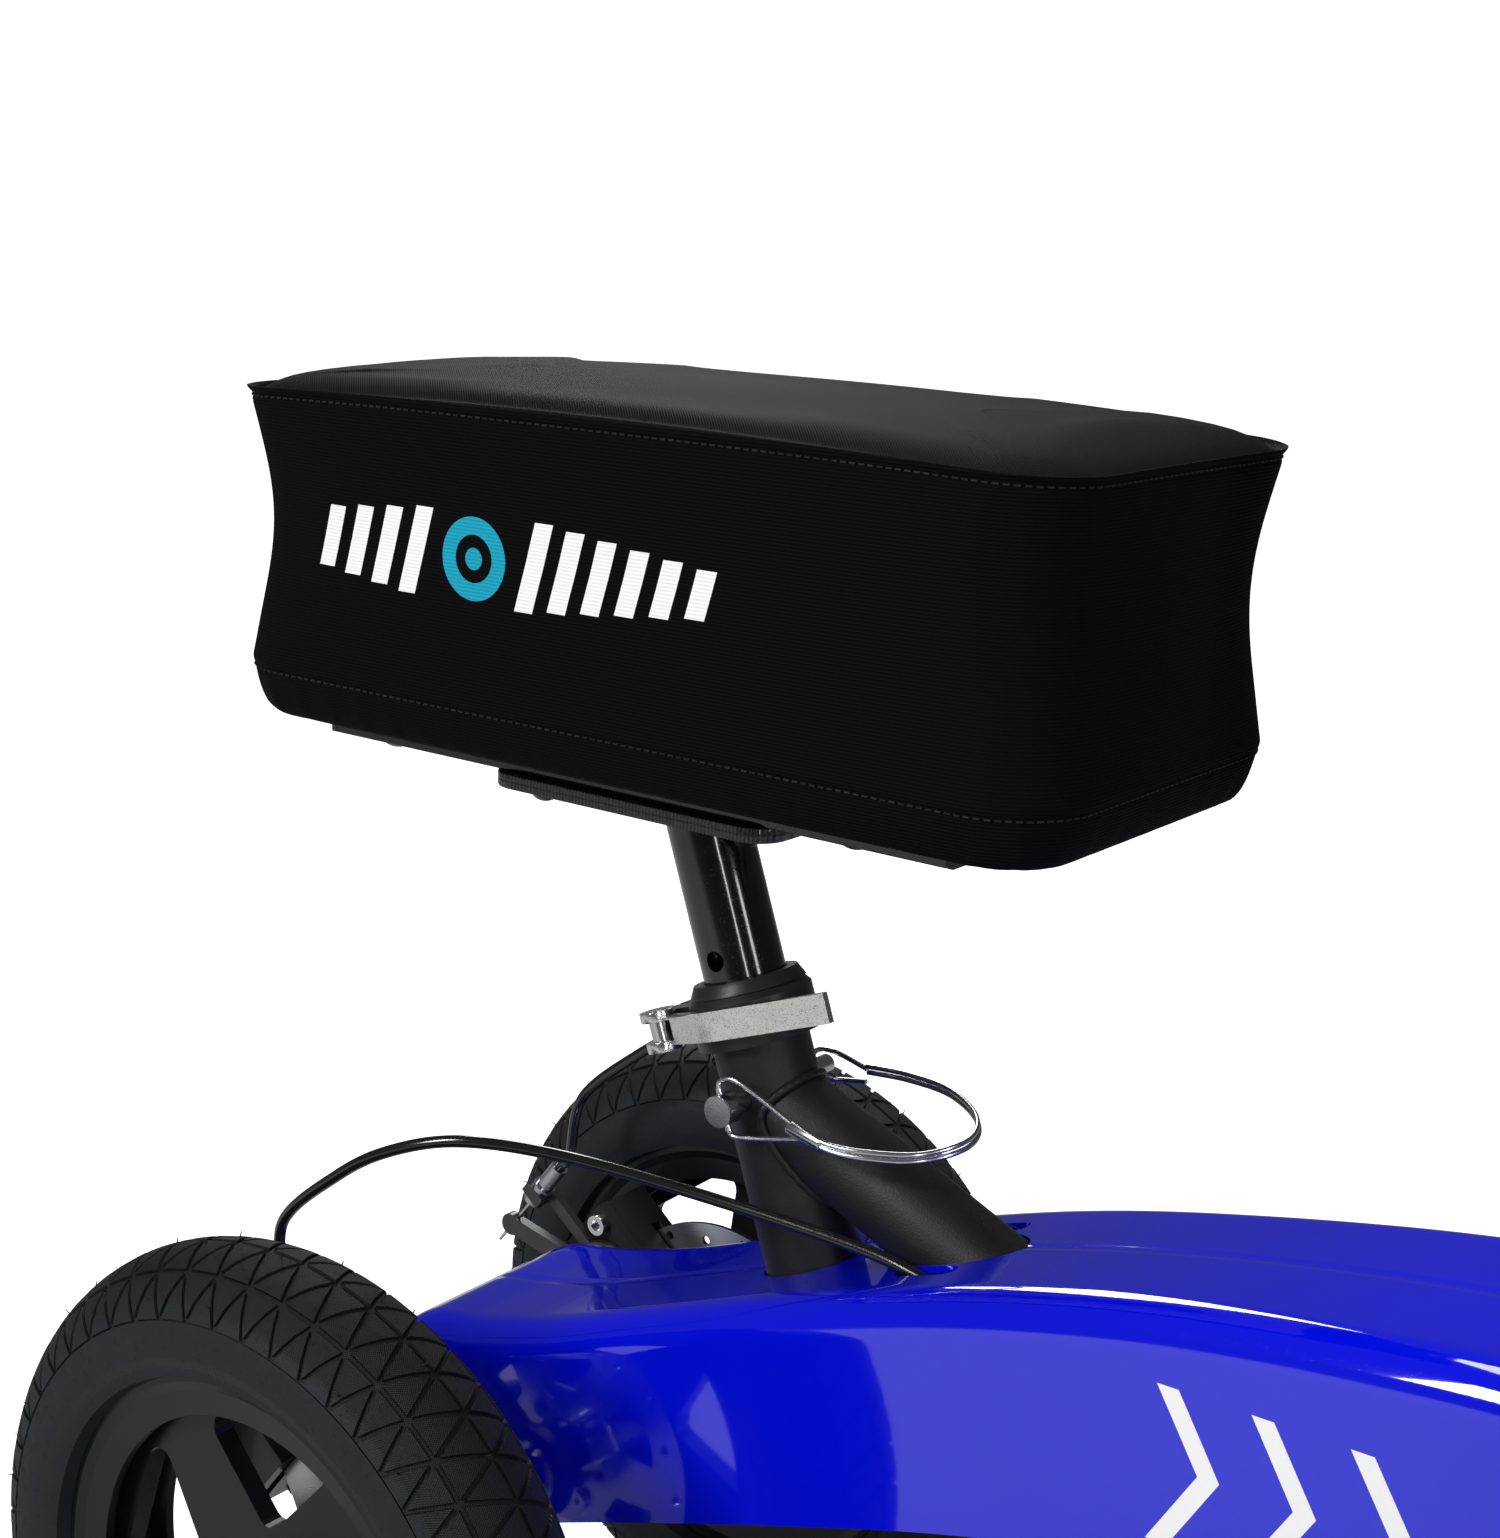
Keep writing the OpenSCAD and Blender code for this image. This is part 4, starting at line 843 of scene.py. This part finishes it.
PAD_LOW, PAD_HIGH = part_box("knee_pad")
PAD_MIDDLE = (PAD_LOW + PAD_HIGH) / 2
PAD_HALF_X = (PAD_HIGH.x - PAD_LOW.x) / 2
PAD_HALF_Y = (PAD_HIGH.y - PAD_LOW.y) / 2
PAD_CORNER = 0.034
SEAM_Z, HEM_Z = 0.6305, 0.5145
BOARD_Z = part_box("pad_board")[0].z


def pad_outline(u):
    """Place and outward direction round the cushion's plan, with u from 0 to 1."""
    a, b, r = PAD_HALF_X - PAD_CORNER, PAD_HALF_Y - PAD_CORNER, PAD_CORNER
    arc = math.pi / 2 * r
    runs = [(2 * b, (a + r, -b), (0, 1), None), (arc, (a, b), None, 0), (2 * a, (a, b + r), (-1, 0), None),
            (arc, (-a, b), None, 90), (2 * b, (-a - r, b), (0, -1), None), (arc, (-a, -b), None, 180),
            (2 * a, (-a, -b - r), (1, 0), None), (arc, (a, -b), None, 270)]
    # Start half-way along one end, so that the two sides mirror one another
    total = sum(run[0] for run in runs)
    s = ((u % 1) * total + b) % total
    for length, start, step, turn in runs:
        if s <= length:
            break
        s -= length
    if step:
        p = Vector((start[0] + step[0] * s, start[1] + step[1] * s))
        out = Vector((step[1], -step[0]))
    else:
        angle = math.radians(turn) + s / r
        out = Vector((math.cos(angle), math.sin(angle)))
        p = Vector(start) + out * r
    nearest = min(abs(p.x) / PAD_HALF_X, 1), min(abs(p.y) / PAD_HALF_Y, 1)
    corner = max(0.0, (nearest[0] * nearest[1]) ** 3)
    return p, out, corner


def cover_profile():
    """Stations from the underside's middle to the top's: millimetres in from the outline,
    height in millimetres, drawing-in at the corners, and how much it gathers."""
    hem, seam = HEM_Z / MM, SEAM_Z / MM
    floor = BOARD_Z / MM
    rows = [(93, floor + 5, 0, 0), (60, floor + 5, 0, 0), (30, floor + 4, 0, 0), (20, floor + 1.5, 0, 0),
            (15.5, floor - 0.8, 0.6, 0.8), (13.0, floor - 1.7, 0.6, 1), (10.4, floor - 1.9, 0.6, 1),
            (7.8, floor - 1.0, 0.8, 1), (5.4, floor + 1.8, 0.8, 1), (3.6, floor + 5.5, 0.8, 0.8),
            (2.2, floor + 9.5, 0.7, 0.6), (1.2, hem - 3.2, 0.5, 0.35), (0.7, hem - 1.4, 0.4, 0.2),
            (1.4, hem, 0, 0.1), (0.2, hem + 1.4, 0, 0.05), (-0.2, hem + 3.6, 0, 0)]
    low, high = hem + 5, seam - 8
    for k in range(17):
        t = k / 16
        waist = math.sin(math.pi * t ** 1.15) ** 1.3
        rows.append((6.2 * waist, low + (high - low) * t, 2.4 * waist, 0))
    rows += [(0.1, seam - 5.6, 0, 0), (1.0, seam - 4.2, 0, 0), (0.0, seam - 2.9, 0, 0),
             (-0.7, seam - 1.2, -2.0, 0.05), (-0.5, seam + 0.3, -2.4, 0.05), (0.9, seam + 1.2, -1.6, 0.05),
             (2.4, seam + 0.9, 0, 0.1), (4.0, seam + 1.7, 0, 0.1), (7, seam + 3.4, 0, 0.06),
             (12, seam + 5.6, 0, 0.03), (20, seam + 8.0, 0, 0), (30, seam + 10.0, 0, 0),
             (42, seam + 11.6, 0, 0), (56, seam + 12.8, 0, 0), (72, seam + 13.5, 0, 0),
             (93, seam + 13.7, 0, 0)]
    return rows


def cover_place(row, u):
    inset, z, drawn, gather = row
    p, out, corner = pad_outline(u)
    ruffle = math.sin(u * 2 * math.pi * 96) * math.sin(u * 2 * math.pi * 31 + 1.7)
    pulled = 0.35 + corner * 1.0
    inward = (inset + drawn * corner + gather * ruffle * 1.3 * pulled) * MM
    reach = Vector((max(PAD_HALF_X - inward, 0.0), max(PAD_HALF_Y - inward, 0.0)))
    if inset < 24:
        q = p - out * inward
    else:
        # Towards the middle the rings become a straight fold line
        q = Vector((p.x * reach.x / PAD_HALF_X, p.y * reach.y / PAD_HALF_Y))
    droop = -0.6 * gather * ruffle * pulled
    top = max(0.0, z * MM - SEAM_Z)
    dome = -(q.x / PAD_HALF_X) ** 2 * 0.0045 if top > 0.0005 else 0.0
    dip = (1 - corner) * 0.0016 if abs(z * MM - SEAM_Z) < 0.007 else 0.0
    sag = -0.0022 * abs(q.x / PAD_HALF_X) ** 3 if z * MM > SEAM_Z - 0.012 else 0.0
    return Vector((PAD_MIDDLE.x + q.x, PAD_MIDDLE.y + q.y, (z + droop) * MM + dome + dip * 0.3 + sag))


def cushion_piece(cloth):
    rows = cover_profile()
    obj = grid_piece(288, len(rows) - 1, lambda u, v: cover_place(rows[round(v * (len(rows) - 1))], u),
                     wrap_across=True)
    close_up(obj, 2e-5)
    relax_cover(obj)
    apply_modifier(obj, "SUBSURF", levels=1, render_levels=1)
    finish_piece(obj, "knee_cushion", "seat", cloth, ["knee_pad"], 70)
    return obj


def board_piece(wood):
    """Plywood board in the cushion's foot, with its corners rounded to suit the cover."""
    low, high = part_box("pad_board")
    rows = [(93, low.z / MM + 1, 0, 0), (11, low.z / MM + 1, 0, 0), (10, low.z / MM + 2, 0, 0),
            (10, high.z / MM - 1, 0, 0), (11, high.z / MM, 0, 0), (93, high.z / MM, 0, 0)]
    obj = grid_piece(144, len(rows) - 1, lambda u, v: cover_place(rows[round(v * (len(rows) - 1))], u),
                     wrap_across=True)
    close_up(obj, 2e-5)
    return finish_piece(obj, "base_board", "seat", wood, ["pad_board"], 40)


def relax_cover(obj):
    """Cloth simulation: the cover shrinks on to its foam between the sewn edges."""
    held = obj.vertex_groups.new(name="sewn")
    start = [v.co.copy() for v in obj.data.vertices]
    for v in obj.data.vertices:
        near_seam = abs(v.co.z - SEAM_Z) < 0.007
        free = HEM_Z + 0.004 < v.co.z < SEAM_Z - 0.008 or v.co.z > SEAM_Z + 0.002
        held.add([v.index], 0.0 if free and not near_seam else 1.0, "REPLACE")
    cloth = obj.modifiers.new("Cloth", "CLOTH")
    made = cloth.settings
    made.quality, made.mass = 6, 0.2
    made.tension_stiffness = made.compression_stiffness = 18
    made.shear_stiffness, made.bending_stiffness = 8, 0.6
    made.vertex_group_mass = "sewn"
    made.shrink_min = 0.012
    made.use_pressure, made.uniform_pressure_force = True, 2.5
    made.effector_weights.gravity = 0
    cloth.point_cache.frame_start, cloth.point_cache.frame_end = 1, 20
    for step in range(1, 21):
        bpy.context.scene.frame_set(step)
    deselect()
    obj.select_set(True)
    bpy.context.view_layer.objects.active = obj
    bpy.ops.object.modifier_apply(modifier=cloth.name)
    bpy.context.scene.frame_set(1)
    for v, was in zip(obj.data.vertices, start):
        moved = v.co - was
        if moved.length > 0.006:
            v.co = was + moved.normalized() * 0.006


def stitch_pieces(thread):
    """Rows of short stitches above the hem and below the top seam."""
    rows = [((0.75, HEM_Z / MM + 0.0, 0, 0.1), 300), ((0.35, SEAM_Z / MM - 4.2, 0, 0), 300)]
    made = []
    for row, count in rows:
        for k in range(count):
            a = cover_place(row, (k + 0.18) / count)
            b = cover_place(row, (k + 0.80) / count)
            made.append(bar_between(a, b, 0.00042, 6))
    obj = joined(made)
    return finish_piece(obj, "cover_stitches", "seat", thread, (), 60)


# ---------- Setting ----------

def studio():
    """Pale floor and soft light."""
    deselect()
    bpy.ops.mesh.primitive_plane_add(size=60, location=(0, 0, -0.0005))
    floor = bpy.context.object
    floor.name = "floor"
    pale = Paint("pale_floor", (0.45, 0.45, 0.45), 0.7)
    pale.rough(0.65 + pale.noise(3, 2.0) * 0.1)
    pale.shader.inputs["Emission Color"].default_value = (1, 1, 1, 1)
    seen = Num(pale, pale.node("ShaderNodeLightPath").outputs["Is Camera Ray"])
    pale.feed(pale.shader.inputs["Emission Strength"], 0.05 + seen * 1.05)
    floor.data.materials.append(pale.material)

    world = bpy.data.worlds.new("studio")
    bpy.context.scene.world = world
    world.use_nodes = True
    tree = world.node_tree
    back = tree.nodes["Background"]
    ray = tree.nodes.new("ShaderNodeLightPath")
    mix = tree.nodes.new("ShaderNodeMix")
    mix.data_type = "FLOAT"
    tree.links.new(ray.outputs["Is Camera Ray"], mix.inputs[0])
    mix.inputs[2].default_value = 0.07
    mix.inputs[3].default_value = 1.3
    tree.links.new(mix.outputs[0], back.inputs["Strength"])
    back.inputs["Color"].default_value = (1, 1, 1, 1)

    lamp("overhead", (-0.2, 0.5, 2.3), (0.0, 0.0, 0.4), 1.3, 0.8, 24)
    lamp("key", (-0.9, -2.2, 1.8), (0.0, 0.0, 0.4), 0.6, 1.2, 56)
    lamp("edge", (2.3, -0.6, 1.3), (0.0, 0.0, 0.4), 0.3, 1.4, 14)
    lamp("back", (-1.6, 1.6, 1.6), (0.0, 0.0, 0.4), 0.6, 1.0, 18)
    lamp("strip", (1.3, -1.5, 0.9), (-0.1, 0.0, 0.4), 0.12, 1.3, 7)


def lamp(name, place, target, wide, high, power):
    data = bpy.data.lights.new(name, "AREA")
    data.shape, data.size, data.size_y, data.energy = "RECTANGLE", wide, high, power
    obj = bpy.data.objects.new(name, data)
    bpy.context.collection.objects.link(obj)
    obj.location = place
    obj.rotation_mode = "QUATERNION"
    obj.rotation_quaternion = (Vector(target) - Vector(place)).to_track_quat("-Z", "Y")


def camera():
    """From behind the right side, a little above the cushion, looking slightly down."""
    yaw, pitch, roll = math.radians(36.375), math.radians(12.776), math.radians(2.090)
    ahead = Vector((-math.sin(yaw) * math.cos(pitch), math.cos(yaw) * math.cos(pitch), -math.sin(pitch)))
    right = ahead.cross(Vector((0, 0, 1))).normalized()
    up = right.cross(ahead)
    right, up = (right * math.cos(roll) + up * math.sin(roll), up * math.cos(roll) - right * math.sin(roll))
    data = bpy.data.cameras.new("camera")
    data.lens, data.sensor_width = 58.97, 36
    data.shift_x, data.shift_y = 0.0033, -0.0194
    data.clip_start, data.clip_end = 0.05, 200
    obj = bpy.data.objects.new("camera", data)
    bpy.context.collection.objects.link(obj)
    turn = Matrix((right, up, -ahead)).transposed().to_4x4()
    obj.matrix_world = Matrix.Translation((0.3906, -0.7820, 0.7202)) @ turn
    bpy.context.scene.camera = obj
    bpy.context.scene.view_settings.view_transform = "Standard"


def soften_edges(names, width, angle=32):
    """Rounds the sharp edges of frame nodes without touching their meshes."""
    for name in names:
        node = NODES[name]
        weld = node.modifiers.new("Weld", "WELD")
        weld.merge_threshold = 1e-6
        bevel = node.modifiers.new("Edges", "BEVEL")
        bevel.width, bevel.segments = width, 2
        bevel.limit_method, bevel.angle_limit = "ANGLE", math.radians(angle)
        bevel.harden_normals = False
        bevel.use_clamp_overlap = True


def paint_frame():
    coat = powder_coat("powder_black", (0.007, 0.007, 0.007))
    zinc = plated_steel("zinc_plate")
    dark_steel = plated_steel("bolt_black_oxide", (0.10, 0.10, 0.105), 0.30)
    bearing = plated_steel("bearing_steel", (0.55, 0.56, 0.58), 0.18)
    alloy = cast_alloy("cast_alloy")
    post = gloss_paint("post_black_gloss", (0.0015, 0.0015, 0.0015), 0.10, 0.35)
    stem = gloss_paint("stem_black", (0.010, 0.010, 0.010), 0.26, 0.3)
    satin = plastic("collar_black", (0.013, 0.013, 0.013), 0.36)
    cap = plastic("cap_black", (0.022, 0.022, 0.022), 0.45)
    grip = powder_coat("grip_rubber", (0.012, 0.012, 0.012), 0.7, 700, 0.0003)
    rim = plastic("rim_black", (0.0045, 0.0045, 0.005), 0.26, 1400, 0.00003)
    caliper = gloss_paint("caliper_black", (0.014, 0.014, 0.015), 0.30, 0.2)
    finishes = {
        coat: ["main_frame", "caliper_brackets", "steerer", "knuckle_left", "knuckle_right", "under_tray"],
        zinc: ["rear_axle", "rear_axle_nuts", "caliper_screws", "seat_clamp_bolt", "hitch_pin", "fold_pin",
               "stem_clamp_bolt", "tie_rod_left", "tie_rod_right", "disc_bolts_left", "disc_bolts_right"],
        dark_steel: ["dome_bolts"],
        bearing: ["head_bearings", "bearings_rear_left", "bearings_rear_right", "bearings_front_left",
                  "bearings_front_right", "cable_adjusters"],
        alloy: ["seat_clamp_lever", "stem_clamp_lever", "fold_latch"],
        post: ["seat_post", "pad_rail", "upper_stem"],
        plate_finish(): ["post_plate"],
        stem: ["lower_stem", "handlebar", "lever_brackets", "brake_lever_left", "brake_lever_right"],
        satin: ["seat_clamp_collar", "stem_collar", "hub_caps_rear"],
        cap: ["rail_caps"],
        grip: ["grips"],
        rim: ["rim_rear_left", "rim_rear_right", "rim_front_left", "rim_front_right"],
        caliper: ["caliper_bodies", "caliper_arm_left", "caliper_arm_right"],
        turned_disc(): ["brake_disc_left", "brake_disc_right"],
    }
    for material, names in finishes.items():
        paint_node(names, material)
    return coat, zinc


def plate_finish():
    """Gloss black plate with the ridged, broken edge that flame cutting leaves."""
    p = Paint("plate_black_gloss", (0.008, 0.008, 0.008), 0.16, Coat_Weight=0.4, Coat_Roughness=0.06)
    x, y, z = p.where()
    normal = p.node("ShaderNodeNewGeometry").outputs["Normal"]
    flat = abs(Num(p, p.node("ShaderNodeSeparateXYZ", values={0: normal}).outputs[2])) > 0.7
    ridges = ((x * 3600 + y * 900).sin() + p.noise(700, 3.0) * 1.6) * (1 - flat)
    split = abs(z - 0.4684).fade(0.0007, 0.0001) * (1 - flat)
    p.rough(0.16 + (1 - flat) * 0.12)
    p.colour(p.blend(ridges.most(0.0) * 0.5, (0.007, 0.007, 0.007), (0.06, 0.06, 0.06)))
    p.bump(ridges - split * 2.5, 0.0006)
    return p.material


camera()
studio()
coat, zinc = paint_frame()
soften_edges(["seat_clamp_lever", "seat_clamp_collar", "stem_clamp_lever", "stem_collar", "rail_caps",
              "post_plate", "hitch_pin", "pad_rail", "caliper_bodies", "caliper_screws"], 0.0005)
body_piece()
tyre_pieces()
cable_pieces(cable_skin())
ring_piece(zinc)
weld_piece(coat)
cushion_piece(knit("cover_knit"))
board_piece(plywood())
stitch_pieces(plastic("thread_black", (0.006, 0.006, 0.006), 0.7))
